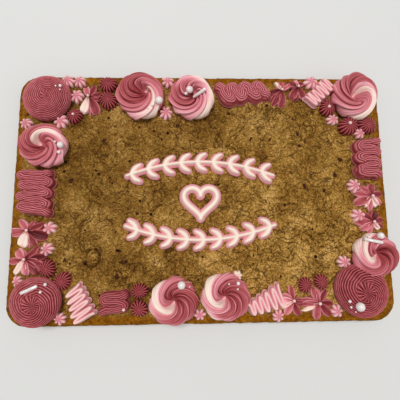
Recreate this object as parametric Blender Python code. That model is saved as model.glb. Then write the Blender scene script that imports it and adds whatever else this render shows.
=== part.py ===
"""A rectangular cookie cake with a border of piped frosting, in metres, +Z up.

The slab rests on z = 0, its middle on the Z axis and its long side along X.
Every piped piece is one closed solid that stands on a flat foot just above
the slab. Pearls, sugar rods and joined drops are part of the piece they touch.
Places, radii and heights in the lists below are in millimetres.
"""

import math
from dataclasses import dataclass

import bmesh
import bpy
from mathutils import Matrix, Vector, noise
from mathutils.bvhtree import BVHTree

MM = 0.001

# The slab.
SLAB_LENGTH = 457
SLAB_WIDTH = 305
SLAB_HEIGHT = 18
CORNER_RADIUS = 25
LONG_STEPS = 16
SHORT_STEPS = 8
CORNER_STEPS = 5
CRAG_HEIGHT = 2.4
CRAG_SIZE = 24
CRAG_REACH = (160, 88)
# Each ring of the slab's side, as how far it lies inside the outline, and its height.
SIDE_RINGS = ((1.4, 0.0), (0.0, 3.5), (0.2, 12.5), (2.0, 16.4), (6.0, 18.0))
TOP_RINGS = 14

GAP = 0.3
FOOT = SLAB_HEIGHT + GAP
WELD = 0.001


@dataclass(frozen=True)
class Nozzle:
    """How one kind of round piece is piped.

    Each ring is (reach, rise, groove, sink): its share of the radius and of the
    height on a rib, and how much both shrink between two ribs. Rings run from
    the foot to the middle. Swirl turns the ribs from rim to middle, in degrees.
    A higher fullness makes the ribs broad and the grooves between them narrow.
    """

    ribs: int
    facets: int
    swirl: float
    rings: tuple
    fullness: float = 1.0


@dataclass(frozen=True)
class Dab:
    """A round piped piece: its middle, radius, height, and turn in degrees."""

    name: str
    x: float
    y: float
    radius: float
    height: float
    turn: float = 0.0


@dataclass(frozen=True)
class Band:
    """A zigzag of rope: its middle, heading in degrees, size, and number of lobes."""

    name: str
    x: float
    y: float
    heading: float
    length: float
    width: float
    height: float
    lobes: float
    far_width: float = 1.0


SWIRL_NOZZLE = Nozzle(
    ribs=7,
    facets=4,
    swirl=150,
    rings=(
        (0.93, 0.00, 0.06, 0.0),
        (1.00, 0.30, 0.09, 0.0),
        (0.86, 0.70, 0.10, 0.08),
        (0.62, 0.93, 0.08, 0.12),
        (0.36, 1.00, 0.10, 0.13),
        (0.14, 0.90, 0.00, 0.10),
        (0.00, 0.74, 0.00, 0.0),
    ),
)
FINE_NOZZLE = Nozzle(
    ribs=13,
    facets=2,
    swirl=150,
    rings=(
        (0.94, 0.00, 0.03, 0.0),
        (1.00, 0.32, 0.05, 0.0),
        (0.88, 0.70, 0.05, 0.06),
        (0.64, 0.93, 0.04, 0.07),
        (0.38, 1.00, 0.05, 0.07),
        (0.15, 0.95, 0.00, 0.08),
        (0.00, 0.86, 0.00, 0.0),
    ),
)
PETAL_NOZZLE = Nozzle(
    ribs=6,
    facets=4,
    swirl=0,
    rings=(
        (1.00, 0.00, 0.52, 0.0),
        (0.60, 0.88, 0.46, 0.45),
        (0.17, 1.00, 0.00, 0.0),
        (0.00, 1.00, 0.00, 0.0),
    ),
    fullness=1.7,
)
DROP_NOZZLE = Nozzle(
    ribs=7,
    facets=2,
    swirl=12,
    rings=(
        (1.00, 0.00, 0.26, 0.0),
        (0.80, 0.66, 0.34, 0.25),
        (0.00, 1.00, 0.00, 0.0),
    ),
)
BUTTON_NOZZLE = Nozzle(
    ribs=12,
    facets=2,
    swirl=0,
    rings=(
        (0.97, 0.00, 0.08, 0.0),
        (0.90, 0.60, 0.10, 0.10),
        (0.34, 1.00, 0.30, 0.12),
        (0.00, 0.80, 0.00, 0.0),
    ),
)

SWIRL_ROSETTES = (
    Dab("rosette_left", -190, 58, 28.5, 20, 10),
    Dab("rosette_back_a", -76, 121, 30, 21, 30),
    Dab("rosette_back_b", -13, 120, 29, 20, 0),
    Dab("rosette_corner_back_right", 193, 122.5, 29, 22, 20),
    Dab("rosette_right", 202, -75, 27.5, 20, 5),
    Dab("rosette_front_a", -34, -123, 28.5, 20, 15),
    Dab("rosette_front_b", 24.5, -119, 29, 20, 40),
)
FINE_ROSETTES = (
    Dab("rosette_corner_back_left", -190, 119, 28.5, 18),
    Dab("rosette_corner_front_left", -190, -121.5, 28, 19),
    Dab("rosette_corner_front_right", 183, -115, 30.5, 18),
)
FLOWERS = (
    Dab("flower_back_a", -140, 122, 19, 9, 20),
    Dab("flower_back_b", 101, 131.5, 18.5, 9, 0),
    Dab("flower_back_c", 122, 136, 16, 9, 35),
    Dab("flower_right_a", 205.5, -3, 19.5, 9, 20),
    Dab("flower_right_b", 205.5, -35, 19, 8, 0),
    Dab("flower_front_a", 133.5, -129, 20, 9, 25),
    Dab("flower_front_b", 103.5, -126, 17, 9, 0),
    Dab("flower_left_a", -205.5, -75, 20.5, 9, 10),
    Dab("flower_left_b", -204.5, -42, 20, 9, 40),
)
DROPS = (
    Dab("drop_01", -173, 90, 9, 8, 0),
    Dab("drop_02", -215, 88, 7.5, 7, 10),
    Dab("drop_03", -43, 143, 8, 7, 20),
    Dab("drop_04", -45, 102, 8.7, 8, 5),
    Dab("drop_05", 139.5, 143.5, 9, 8, 0),
    Dab("drop_06", 165, 94, 7.5, 7, 15),
    Dab("drop_07", 198, 76, 7, 7, 0),
    Dab("drop_08", 186, 9.5, 8.5, 8, 10),
    Dab("drop_09", 188, -27, 8.5, 8, 0),
    Dab("drop_10", 167.5, -82.5, 8, 7, 20),
    Dab("drop_11", 155, -138.5, 7.5, 7, 0),
    Dab("drop_12", 86, -143, 7, 7, 10),
    Dab("drop_13", -5, -140, 7, 7, 0),
    Dab("drop_14", -164, -142, 7.3, 7, 15),
    Dab("drop_15", -214, -100, 6.2, 6, 0),
    Dab("drop_16", -182, -64, 8, 8, 5),
    Dab("drop_17", -180, -39.5, 8, 8, 20),
    Dab("drop_twin", -167, 143, 8, 8, 0),
)
# Drops that were piped into another piece, which they are named for and belong to.
JOINED_DROPS = (
    Dab("drop_twin", -153, 142.5, 8, 8, 25),
    Dab("flower_back_a", -155, 123, 8, 8.5, 10),
    Dab("rosette_front_b", 39.7, -96.8, 5.8, 6, 0),
)
BUTTONS = (
    Dab("button_01", -157, 97.5, 9.5, 9),
    Dab("button_02", -117, 138, 11, 10),
    Dab("button_03", -116, 117.5, 11.5, 10),
    Dab("button_04", 159, 109.5, 10.5, 9),
    Dab("button_05", 184, 85.5, 12.5, 10),
    Dab("button_06", 208, 86.5, 11.5, 9),
    Dab("button_07", 138, -105, 9, 8),
    Dab("button_08", 119, -108, 9, 8),
    Dab("button_09", -74, -112.5, 9.5, 9),
    Dab("button_10", -74, -132, 10, 9),
    Dab("button_11", -180, -86, 10, 9),
    Dab("button_12", -162, -100, 10.5, 9),
)
ZIGZAGS = (
    Band("zigzag_left", -198, 2.5, -90, 58, 44, 14, 4),
    Band("zigzag_back", 52, 128, 6, 68, 33, 14, 4, 0.8),
    Band("zigzag_right", 204, 43, -90, 52, 38.5, 14, 3, 0.88),
    Band("zigzag_front", -102.5, -124.5, -90, 30, 37, 13, 2),
)
RUFFLES = (
    Band("ruffle_back", 149, 128, 43, 41, 19, 10, 4),
    Band("ruffle_front_a", -141.5, -125, -66, 40, 19, 11, 4, 1.4),
    Band("ruffle_front_b", 71, -127, 23, 41, 15, 11, 5, 1.8),
)
ZIGZAG_COLUMNS = 6
RUFFLE_COLUMNS = 4
BAND_CORNER = 4
BAND_NOTCH = 0.10
BAND_SINK = 0.30

# The ornament in the middle: two leafy sprays, and a heart piped as one line.
SPRAY_SPAN = 184
SPRAY_BOW = 17
SPRAY_LEAVES = 9
LEAF_REACH = 13
LEAF_SWEEP = 7
STEM_HALF_WIDTH = 4
SPRAY_HEIGHT = 8
UPPER_SPRAY = (-3, 22)
LOWER_SPRAY = (-3, -38)
HEART_CENTRE = (-3, -8)
HEART_SIZE = 40
HEART_ROPE = 4.2
HEART_POINTS = 22

# Sugar pearls: the piece that each lies on, its place and its radius.
PEARLS = (
    ("rosette_corner_back_left", -173, 129, 2.0),
    ("rosette_corner_back_left", -171, 123, 1.4),
    ("rosette_left", -168, 58, 4.2),
    ("rosette_left", -171, 50, 2.3),
    ("rosette_left", -175, 63, 1.5),
    ("rosette_corner_front_left", -176, -103, 2.2),
    ("rosette_corner_front_left", -178, -110, 1.9),
    ("rosette_front_a", -26, -105, 4.8),
    ("rosette_front_a", -18, -109, 1.5),
    ("rosette_front_a", -20, -101, 1.8),
    ("rosette_front_b", 38, -105, 2.3),
    ("rosette_front_b", 28, -104, 1.5),
    ("rosette_front_b", 37, -111, 1.5),
    ("rosette_corner_front_right", 176, -131, 5.7),
    ("rosette_corner_front_right", 165, -125, 1.9),
    ("rosette_corner_front_right", 168, -133, 1.9),
    ("rosette_right", 206, -55, 4.2),
    ("rosette_right", 193, -55, 1.6),
    ("rosette_back_a", -53, 113, 4.9),
    ("rosette_back_a", -63, 104, 1.9),
    ("rosette_back_b", -15, 129, 4.9),
    ("rosette_back_b", -20, 122, 2.4),
    ("button_01", -157, 98, 1.7),
    ("button_04", 159, 109, 2.0),
    ("button_05", 183, 87, 2.2),
    ("zigzag_front", -90, -131, 1.8),
    ("flower_back_a", -140, 122, 2.0),
    ("flower_back_b", 101, 131.5, 1.9),
    ("flower_back_c", 122, 136, 1.9),
    ("flower_right_a", 205.5, -4, 2.2),
    ("flower_right_b", 205.5, -35, 2.0),
    ("flower_front_a", 133.5, -129, 2.2),
    ("flower_front_b", 103.5, -125.5, 2.1),
    ("flower_left_a", -205, -75, 2.0),
    ("flower_left_b", -204, -42, 2.0),
)
PEARL_SINK = 0.15
LARGE_PEARL = 3

# Sugar rods: the piece that each lies on, and the places of its two ends.
RODS = (
    ("rosette_corner_front_left", (-201, -111), (-183, -103)),
    ("rosette_right", (187, -57), (206, -62)),
    ("rosette_back_b", (-11, 118), (4, 123)),
)
ROD_RADIUS = 1.8
ROD_SIDES = 6


def clear_scene():
    """Removes every object of the open scene."""
    for thing in list(bpy.data.objects):
        bpy.data.objects.remove(thing, do_unlink=True)


def make_collection(name):
    """Adds a collection to the scene."""
    collection = bpy.data.collections.new(name)
    bpy.context.scene.collection.children.link(collection)
    return collection


def make_material(name, colour, roughness):
    """A non-metallic Principled material."""
    material = bpy.data.materials.new(name)
    material.use_nodes = True
    shader = material.node_tree.nodes["Principled BSDF"]
    shader.inputs["Base Color"].default_value = (*colour, 1.0)
    shader.inputs["Roughness"].default_value = roughness
    shader.inputs["Metallic"].default_value = 0.0
    return material


def make_object(name, bm, collection, material, origin=(0.0, 0.0, 0.0)):
    """Turns a bmesh in millimetres into an object that stands at its origin."""
    bmesh.ops.recalc_face_normals(bm, faces=bm.faces)
    bmesh.ops.scale(bm, vec=Vector((MM, MM, MM)), verts=bm.verts)
    mesh = bpy.data.meshes.new(name)
    bm.to_mesh(mesh)
    bm.free()
    mesh.shade_smooth()
    mesh.set_sharp_from_angle(angle=math.radians(50))
    mesh.materials.append(material)
    thing = bpy.data.objects.new(name, mesh)
    thing.location = Vector(origin) * MM
    collection.objects.link(thing)
    return thing


def unit_grid(columns, rows):
    """A flat grid of cells, one unit square, with its corner at the origin."""
    bm = bmesh.new()
    bmesh.ops.create_grid(bm, x_segments=columns, y_segments=rows, size=0.5)
    bmesh.ops.translate(bm, vec=Vector((0.5, 0.5, 0.0)), verts=bm.verts)
    return bm


def fill_foot(bm):
    """Closes the open rim of a surface with one flat face."""
    rim = [edge for edge in bm.edges if edge.is_boundary]
    bmesh.ops.contextual_create(bm, geom=rim)


def wrapped_solid(columns, rings, place):
    """A grid wrapped round the Z axis: place(column, ring) gives each point."""
    bm = unit_grid(columns, rings)
    for vert in bm.verts:
        column = round(vert.co.x * columns) % columns
        ring = round(vert.co.y * rings)
        vert.co = Vector(place(column, ring))
    bmesh.ops.remove_doubles(bm, verts=bm.verts, dist=WELD)
    fill_foot(bm)
    return bm


def outline_point(step, inset):
    """A point of the slab's rounded outline, drawn in by the inset."""
    half_x = SLAB_LENGTH / 2 - CORNER_RADIUS
    half_y = SLAB_WIDTH / 2 - CORNER_RADIUS
    radius = CORNER_RADIUS - inset
    corners = ((half_x, half_y), (-half_x, half_y), (-half_x, -half_y), (half_x, -half_y))
    for index, corner in enumerate(corners):
        if step <= CORNER_STEPS:
            angle = math.radians(90 * (index + step / CORNER_STEPS))
            return corner[0] + radius * math.cos(angle), corner[1] + radius * math.sin(angle)
        step -= CORNER_STEPS
        side_steps = LONG_STEPS if index % 2 == 0 else SHORT_STEPS
        if step < side_steps:
            angle = math.radians(90 * (index + 1))
            start = Vector(corner)
            end = Vector(corners[(index + 1) % 4])
            point = start.lerp(end, step / side_steps)
            return point.x + radius * math.cos(angle), point.y + radius * math.sin(angle)
        step -= side_steps
    return outline_point(0, inset)


def crag_relief(x, y):
    """The uneven top: lumps that die out before they reach the piped border."""
    fade_x = max(0.0, 1.0 - (x / CRAG_REACH[0]) ** 6)
    fade_y = max(0.0, 1.0 - (y / CRAG_REACH[1]) ** 6)
    lump = noise.noise(Vector((x, y, 0.0)) / CRAG_SIZE)
    return CRAG_HEIGHT * min(0.0, lump - 0.15) * fade_x * fade_y


def build_cookie(collection, material):
    """The slab: rings climb its side, then shrink over the top to its middle."""
    columns = 4 * CORNER_STEPS + 2 * LONG_STEPS + 2 * SHORT_STEPS
    sides = len(SIDE_RINGS)

    def place(column, ring):
        if ring < sides:
            inset, height = SIDE_RINGS[ring]
            return (*outline_point(column, inset), height)
        share = 1.0 - (ring - sides + 1) / TOP_RINGS
        x, y = outline_point(column, SIDE_RINGS[-1][0])
        x *= share
        y *= share
        return x, y, SLAB_HEIGHT + crag_relief(x, y)

    bm = wrapped_solid(columns, sides + TOP_RINGS - 1, place)
    return make_object("cookie", bm, collection, material)


@dataclass(frozen=True)
class Footprint:
    """What a piece covers, seen from above: a turned box with rounded corners."""

    name: str
    centre: Vector
    heading: float
    half: tuple
    corner: float

    def nearest_core(self, point):
        """The point of the box, less its rounded rim, that lies nearest."""
        turn = Matrix.Rotation(-self.heading, 2)
        local = turn @ (point - self.centre)
        x = min(max(local.x, -self.half[0]), self.half[0])
        y = min(max(local.y, -self.half[1]), self.half[1])
        return self.centre + turn.inverted() @ Vector((x, y))


def dab_footprint(dab):
    """The footprint of a round piece."""
    return Footprint(dab.name, Vector((dab.x, dab.y)), 0.0, (0.0, 0.0), dab.radius)


def band_footprint(band):
    """The footprint of a zigzag."""
    half_x = band.length / 2 - BAND_CORNER
    half_y = band.width * max(1.0, band.far_width) / 2 - BAND_CORNER
    centre = Vector((band.x, band.y))
    return Footprint(band.name, centre, math.radians(band.heading), (half_x, half_y), BAND_CORNER)


def borders_of(dab, footprints):
    """The straight borders that a round piece shares with the pieces it touches.

    Two round pieces meet on the line through the points where their circles
    cross. A round piece meets a zigzag along the zigzag's own side.
    """
    middle = Vector((dab.x, dab.y))
    borders = []
    for other in footprints:
        if other.name == dab.name:
            continue
        towards = other.nearest_core(middle) - middle
        distance = towards.length
        if distance > dab.radius + other.corner + GAP:
            continue
        if other.half == (0.0, 0.0):
            reach = (distance**2 + dab.radius**2 - other.corner**2) / (2 * distance) - GAP / 2
        else:
            reach = distance - other.corner - GAP
        borders.append((math.atan2(towards.y, towards.x), reach))
    return borders


def room_towards(angle, borders):
    """How far a piece can reach in one direction before it meets a border."""
    room = math.inf
    for heading, reach in borders:
        facing = math.cos(angle - heading)
        if facing > 0.05:
            room = min(room, reach / facing)
    return room


def dab_solid(dab, nozzle, borders=()):
    """A round piece about its own middle, pressed flat where it meets a border."""
    columns = nozzle.ribs * nozzle.facets

    def place(column, ring):
        around = 2 * math.pi * column / columns
        between = ((1 - math.cos(nozzle.ribs * around)) / 2) ** nozzle.fullness
        share, rise, groove, sink = nozzle.rings[ring]
        share *= 1 - groove * between
        angle = around + math.radians(dab.turn + nozzle.swirl * (1 - share))
        rim = dab.radius * max(r * (1 - g * between) for r, _, g, _ in nozzle.rings)
        press = min(1.0, room_towards(angle, borders) / rim)
        reach = dab.radius * share
        reach *= 1 - (1 - press) * reach / rim
        height = FOOT + dab.height * rise * (1 - sink * between)
        return reach * math.cos(angle), reach * math.sin(angle), height

    return wrapped_solid(columns, len(nozzle.rings) - 1, place)


def build_dab(dab, nozzle, footprints, collection, material):
    """One round piece, standing at its place on the slab."""
    bm = dab_solid(dab, nozzle, borders_of(dab, footprints))
    return make_object(dab.name, bm, collection, material, (dab.x, dab.y, 0.0))


def band_surface(columns, rows, place):
    """A grid laid over the slab by place(along, across), walled down to its foot."""
    bm = unit_grid(rows, columns)
    for vert in bm.verts:
        vert.co = Vector(place(vert.co.x, 2 * vert.co.y - 1))
    rim = [edge for edge in bm.edges if edge.is_boundary]
    walls = bmesh.ops.extrude_edge_only(bm, edges=rim)["geom"]
    for item in walls:
        if isinstance(item, bmesh.types.BMVert):
            item.co.z = FOOT
    fill_foot(bm)
    return bm


def build_band(band, columns, collection, material):
    """A zigzag: the rope's turns alternate, so the grooves enter from each side."""

    def place(along, across):
        lap = math.cos(2 * math.pi * band.lobes * along)
        groove = (1 + across * lap) / 2
        ends = abs(2 * along - 1) ** 8
        width = band.width * (1 + (band.far_width - 1) * along)
        width *= (1 - BAND_NOTCH * groove) * (1 - 0.22 * ends)
        stroke = (1 + math.cos(4 * math.pi * band.lobes * along)) / 2
        dome = 1 - 0.55 * across**4
        height = band.height * dome * (1 - BAND_SINK * stroke) * (1 - 0.45 * ends)
        return (along - 0.5) * band.length, across * width / 2, FOOT + height

    rows = round(band.lobes * 4)
    bm = band_surface(columns, rows, place)
    bmesh.ops.rotate(bm, matrix=Matrix.Rotation(math.radians(band.heading), 3, "Z"), verts=bm.verts)
    return make_object(band.name, bm, collection, material, (band.x, band.y, 0.0))


def build_spray(name, place_at, facing, collection, material):
    """A bowed spray: leaf tips and notches alternate along both of its sides."""
    rows = 2 * SPRAY_LEAVES

    def place(along, across):
        tip = round(along * rows) % 2
        side = abs(across)
        half_width = LEAF_REACH if tip else STEM_HALF_WIDTH
        x = (along - 0.5) * (SPRAY_SPAN - LEAF_SWEEP) + tip * side * LEAF_SWEEP
        y = across * half_width + SPRAY_BOW * (1 - (2 * along - 1) ** 2)
        height = SPRAY_HEIGHT * (1 - (0.75 if tip else 0.5) * side**2)
        return x, y, FOOT + height

    bm = band_surface(4, rows, place)
    bmesh.ops.rotate(bm, matrix=Matrix.Rotation(math.radians(facing), 3, "Z"), verts=bm.verts)
    return make_object(name, bm, collection, material, (*place_at, 0.0))


def heart_point(share):
    """A point of the heart's line, about its middle, for a share of the way round."""
    angle = 2 * math.pi * share
    x = 16 * math.sin(angle) ** 3
    y = 13 * math.cos(angle) - 5 * math.cos(2 * angle) - 2 * math.cos(3 * angle) - math.cos(4 * angle)
    return Vector((x, y, 0.0)) * HEART_SIZE / 32


def build_heart(collection, material):
    """The heart: a closed rope, from a curve with a round bevel."""
    data = bpy.data.curves.new("heart", "CURVE")
    data.dimensions = "3D"
    data.bevel_depth = HEART_ROPE * MM
    data.bevel_resolution = 1
    spline = data.splines.new("POLY")
    spline.points.add(HEART_POINTS - 1)
    spline.use_cyclic_u = True
    for index, point in enumerate(spline.points):
        place = heart_point(index / HEART_POINTS) * MM
        point.co = (*place, 1.0)
    data.materials.append(material)
    heart = bpy.data.objects.new("heart", data)
    heart.location = Vector((*HEART_CENTRE, FOOT + HEART_ROPE)) * MM
    collection.objects.link(heart)
    return heart


def surface_height(host, x, y):
    """The height of a piece's top at a place on the slab, in millimetres."""
    tree = BVHTree.FromPolygons(
        [(host.matrix_world @ vert.co) / MM for vert in host.data.vertices],
        [list(face.vertices) for face in host.data.polygons],
    )
    hit = tree.ray_cast(Vector((x, y, 200.0)), Vector((0.0, 0.0, -1.0)))[0]
    return hit.z


def build_pearl(host, x, y, radius, collection, material):
    """A pearl, sunk a little into the piece below it."""
    bm = bmesh.new()
    if radius > LARGE_PEARL:
        bmesh.ops.create_uvsphere(bm, u_segments=8, v_segments=5, radius=radius)
    else:
        bmesh.ops.create_icosphere(bm, subdivisions=1, radius=radius)
    height = surface_height(host, x, y) + radius * PEARL_SINK
    return make_object("pearl", bm, collection, material, (x, y, height))


def build_rod(host, start, end, collection, material):
    """A sugar rod that lies across the piece below it."""
    ends = []
    for x, y in (start, end):
        ends.append(Vector((x, y, surface_height(host, x, y) + ROD_RADIUS * 0.3)))
    along = ends[1] - ends[0]
    middle = (ends[0] + ends[1]) / 2
    bm = bmesh.new()
    bmesh.ops.create_cone(
        bm,
        cap_ends=True,
        segments=ROD_SIDES,
        radius1=ROD_RADIUS,
        radius2=ROD_RADIUS,
        depth=along.length,
        matrix=along.to_track_quat("Z", "Y").to_matrix().to_4x4(),
    )
    return make_object("rod", bm, collection, material, middle)


def fuse(host, extras):
    """Joins pieces into the one they touch, with one Boolean union."""
    joined = make_collection(host.name + "_extras")
    for extra in extras:
        for holder in list(extra.users_collection):
            holder.objects.unlink(extra)
        joined.objects.link(extra)
    union = host.modifiers.new("fuse", "BOOLEAN")
    union.operation = "UNION"
    union.operand_type = "COLLECTION"
    union.material_mode = "TRANSFER"
    union.collection = joined
    bpy.context.view_layer.update()
    graph = bpy.context.evaluated_depsgraph_get()
    fused = bpy.data.meshes.new_from_object(host.evaluated_get(graph))
    host.modifiers.clear()
    host.data = fused
    for extra in extras:
        bpy.data.objects.remove(extra, do_unlink=True)
    bpy.data.collections.remove(joined)


def main():
    """Builds the slab, then each kind of piping, then fuses the small pieces to it."""
    clear_scene()
    parts = make_collection("cookie_cake")
    extras = make_collection("small_pieces")
    baked = make_material("baked_cookie", (0.30, 0.17, 0.05), 0.85)
    rose = make_material("rose_frosting", (0.46, 0.09, 0.13), 0.5)
    blush = make_material("blush_frosting", (0.86, 0.36, 0.46), 0.5)
    marbled = make_material("marbled_frosting", (0.66, 0.22, 0.28), 0.5)
    cream = make_material("cream_frosting", (0.93, 0.80, 0.72), 0.5)
    sugar = make_material("sugar", (0.93, 0.90, 0.88), 0.25)

    round_kinds = (
        (SWIRL_ROSETTES, SWIRL_NOZZLE, marbled),
        (FINE_ROSETTES, FINE_NOZZLE, rose),
        (FLOWERS, PETAL_NOZZLE, marbled),
        (DROPS, DROP_NOZZLE, blush),
        (BUTTONS, BUTTON_NOZZLE, rose),
    )
    footprints = [band_footprint(band) for band in ZIGZAGS + RUFFLES]
    footprints += [dab_footprint(dab) for dab in JOINED_DROPS]
    for dabs, _, _ in round_kinds:
        footprints += [dab_footprint(dab) for dab in dabs]

    build_cookie(parts, baked)
    hosts = {}
    for dabs, nozzle, material in round_kinds:
        for dab in dabs:
            hosts[dab.name] = build_dab(dab, nozzle, footprints, parts, material)
    for band in ZIGZAGS:
        hosts[band.name] = build_band(band, ZIGZAG_COLUMNS, parts, rose)
    for band in RUFFLES:
        hosts[band.name] = build_band(band, RUFFLE_COLUMNS, parts, blush)
    build_spray("spray_upper", UPPER_SPRAY, 0, parts, cream)
    build_spray("spray_lower", LOWER_SPRAY, 180, parts, cream)
    build_heart(parts, cream)

    bpy.context.view_layer.update()
    toppings = {name: [] for name in hosts}
    for dab in JOINED_DROPS:
        toppings[dab.name].append(build_dab(dab, DROP_NOZZLE, footprints, extras, blush))
    for name, x, y, radius in PEARLS:
        toppings[name].append(build_pearl(hosts[name], x, y, radius, extras, sugar))
    for name, start, end in RODS:
        toppings[name].append(build_rod(hosts[name], start, end, extras, sugar))
    for name, pieces in toppings.items():
        if pieces:
            fuse(hosts[name], pieces)
    bpy.data.collections.remove(extras)


main()
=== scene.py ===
"""The looks of a rectangular cookie cake with a border of piped frosting.

Lengths are in millimetres and angles in degrees, unless a name says otherwise.
Meshes are turned into metres when they become objects. The slab's long side
lies along X, the photograph's top towards +Y, and the frosting towards +Z.
"""

import logging
import math
from dataclasses import dataclass, field
from enum import Enum
from typing import Any, Callable, Union

import bpy
import numpy as np
from mathutils import Matrix, Vector


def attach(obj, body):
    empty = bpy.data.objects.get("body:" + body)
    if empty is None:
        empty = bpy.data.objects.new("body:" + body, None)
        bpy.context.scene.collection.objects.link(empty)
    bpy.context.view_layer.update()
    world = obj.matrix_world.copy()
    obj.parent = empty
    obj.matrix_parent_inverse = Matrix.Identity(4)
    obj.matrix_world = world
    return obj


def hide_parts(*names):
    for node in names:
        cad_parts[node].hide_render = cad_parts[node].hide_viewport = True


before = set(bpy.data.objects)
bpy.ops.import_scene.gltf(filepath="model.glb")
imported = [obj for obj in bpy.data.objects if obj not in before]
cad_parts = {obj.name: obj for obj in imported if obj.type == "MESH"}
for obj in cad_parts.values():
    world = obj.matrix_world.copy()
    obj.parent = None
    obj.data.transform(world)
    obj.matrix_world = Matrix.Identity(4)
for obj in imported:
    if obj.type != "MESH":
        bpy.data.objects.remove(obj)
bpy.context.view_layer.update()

LOG = logging.getLogger("cookie_cake")

Array = np.ndarray
Colour = tuple[float, float, float]
Place = tuple[float, float]

MM = 0.001
SLAB_LENGTH = 457.0
SLAB_WIDTH = 305.0
SLAB_TOP = 18.0
CORNER_RADIUS = 25.0
# The height at which piping meets the crust, and how deep its hidden foot goes.
FOOT = 18.3
SUNK = 1.3
# The least distance from an axis, so that no ring shrinks to a point.
LEAST_REACH = 0.02
# After so many cells the noise repeats.
NOISE_CELLS = 128
# How finely a smooth curve is worked out for each point that it goes through.
CURVE_STEPS = 16


def rgb(red: int, green: int, blue: int) -> Colour:
    """The linear values that shaders use for a screen colour.

    Args:
        red, green, blue: the screen values, 0 to 255.

    Returns:
        The three linear values.
    """
    screen = np.array((red, green, blue)) / 255
    linear = np.where(screen <= 0.04045, screen / 12.92, ((screen + 0.055) / 1.055) ** 2.4)
    return tuple(linear.tolist())


class Tint(Enum):
    """Where a colour of frosting lies on the way from painted shade in grooves, creases and pits, through
    the frosting's own colours, to cream.

    In tables a tint is given by its first letter.
    """

    # The lowest tint is painted shade for grooves, creases and pits, darker than the frosting's own colours.
    GROOVE = -0.25
    DEEP = 0.0
    ROSE = 0.2
    MAUVE = 0.36
    PINK = 0.5
    BLUSH = 0.72
    CREAM = 1.0

    @classmethod
    def values(cls, letters: str) -> Array:
        """The values of the tints that the letters stand for."""
        known = {tint.name[0]: tint.value for tint in cls}
        return np.array([known[letter] for letter in letters])

    @staticmethod
    def clipped(tints: Array) -> Array:
        """Tints kept between the darkest and the lightest."""
        return np.clip(tints, Tint.GROOVE.value, Tint.CREAM.value)


class Slot(Enum):
    """The record's material slots."""

    COOKIE = "baked_cookie"
    MARBLED = "marbled_frosting"
    ROSE = "rose_frosting"
    BLUSH = "blush_frosting"
    CREAM = "cream_frosting"


def smooth_step(low: float, high: float, value: Array) -> Array:
    """0 from low on outwards, 1 from high on outwards, and an S-shaped change in between."""
    share = np.clip((value - low) / (high - low), 0.0, 1.0)
    return share * share * (3 - 2 * share)


def bell(offset: Array) -> Array:
    """e to minus the offset's square: 1 at 0, falling off on both sides."""
    return np.exp(-(offset**2))


def turned(along: Array, across: Array, degrees: Any) -> tuple[Array, Array]:
    """x and y of places that are turned counter-clockwise about the origin."""
    cosine, sine = np.cos(np.radians(degrees)), np.sin(np.radians(degrees))
    return along * cosine - across * sine, along * sine + across * cosine


def lattice_noise(x: Array, y: Array, seed: int) -> Array:
    """Smooth noise from -1 to 1: random values at whole numbers, blended in between.

    Args:
        x, y: the coordinates, in cells.
        seed: picks the random values.

    Returns:
        The noise at each place.
    """
    table = np.random.default_rng(seed).uniform(-1, 1, (NOISE_CELLS, NOISE_CELLS))
    cell_x, cell_y = np.floor(x).astype(int), np.floor(y).astype(int)
    share_x, share_y = smooth_step(0, 1, x - cell_x), smooth_step(0, 1, y - cell_y)

    def row(step: int) -> Array:
        """Blends the values on one side of each cell along x.

        Args:
            step: 0 for the side at the cell's own y, 1 for the next one.

        Returns:
            The blended value for each place.
        """
        level = (cell_y + step) % NOISE_CELLS
        left, right = (table[(cell_x + side) % NOISE_CELLS, level] for side in (0, 1))
        return left * (1 - share_x) + right * share_x

    return row(0) * (1 - share_y) + row(1) * share_y


def layered_noise(x: Array, y: Array, size: float, layers: int, seed: int) -> Array:
    """Noise whose every further layer is half as large and half as strong.

    Args:
        x, y: the coordinates.
        size: the size of the largest lumps.
        layers: how many layers are added up.
        seed: picks the random values.

    Returns:
        The noise at each place, about -1 to 1.
    """
    total = np.zeros(np.broadcast(x, y).shape)
    for layer in range(layers):
        finer = 2.0**layer / size
        total += lattice_noise(x * finer + 7.3 * layer, y * finer - 3.1 * layer, seed + layer) * 0.5**layer
    return total


def smooth_curve(points: Any, count: int) -> Array:
    """Evenly spaced places on a smooth curve through the given points.

    Between two points the curve is the cubic whose slope at each of them is
    half the step from the point before it to the point after it.

    Args:
        points: the points, one a row.
        count: how many places are wanted.

    Returns:
        The places, one a row.
    """
    given = np.asarray(points, float)
    padded = np.vstack([2 * given[0] - given[1], given, 2 * given[-1] - given[-2]])
    place = np.linspace(0, len(given) - 1, CURVE_STEPS * len(given))
    index = np.minimum(place.astype(int), len(given) - 2)
    share = (place - index)[:, None]
    before, start, end, after = (padded[index + step] for step in range(4))
    square = 2 * before - 5 * start + 4 * end - after
    cube = 3 * (start - end) + after - before
    dense = start + 0.5 * share * (end - before + share * (square + share * cube))
    reached = np.concatenate([[0.0], np.cumsum(np.linalg.norm(np.diff(dense, axis=0), axis=1))])
    wanted = np.linspace(0, reached[-1], count)
    return np.column_stack([np.interp(wanted, reached, column) for column in dense.T])


def profile_normals(profile: Array) -> Array:
    """The outward normals of a profile that runs from the foot to the middle.

    Each is the slope, made one long and turned clockwise by a quarter turn.

    Args:
        profile: the reach and height of each place.

    Returns:
        The reach and height of each unit normal.
    """
    slope = np.gradient(profile, axis=0)
    slope /= np.linalg.norm(slope, axis=1, keepdims=True)
    return np.column_stack([slope[:, 1], -slope[:, 0]])


def grid_quads(index: Array) -> Array:
    """The faces between the rows and columns of a grid of point numbers."""
    return np.stack([index[:-1, :-1], index[1:, :-1], index[1:, 1:], index[:-1, 1:]], -1)


def whole_turn(count: int) -> Array:
    """Evenly spaced angles of one turn, in radians, starting at 0."""
    return 2 * np.pi * np.arange(count) / count


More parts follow.
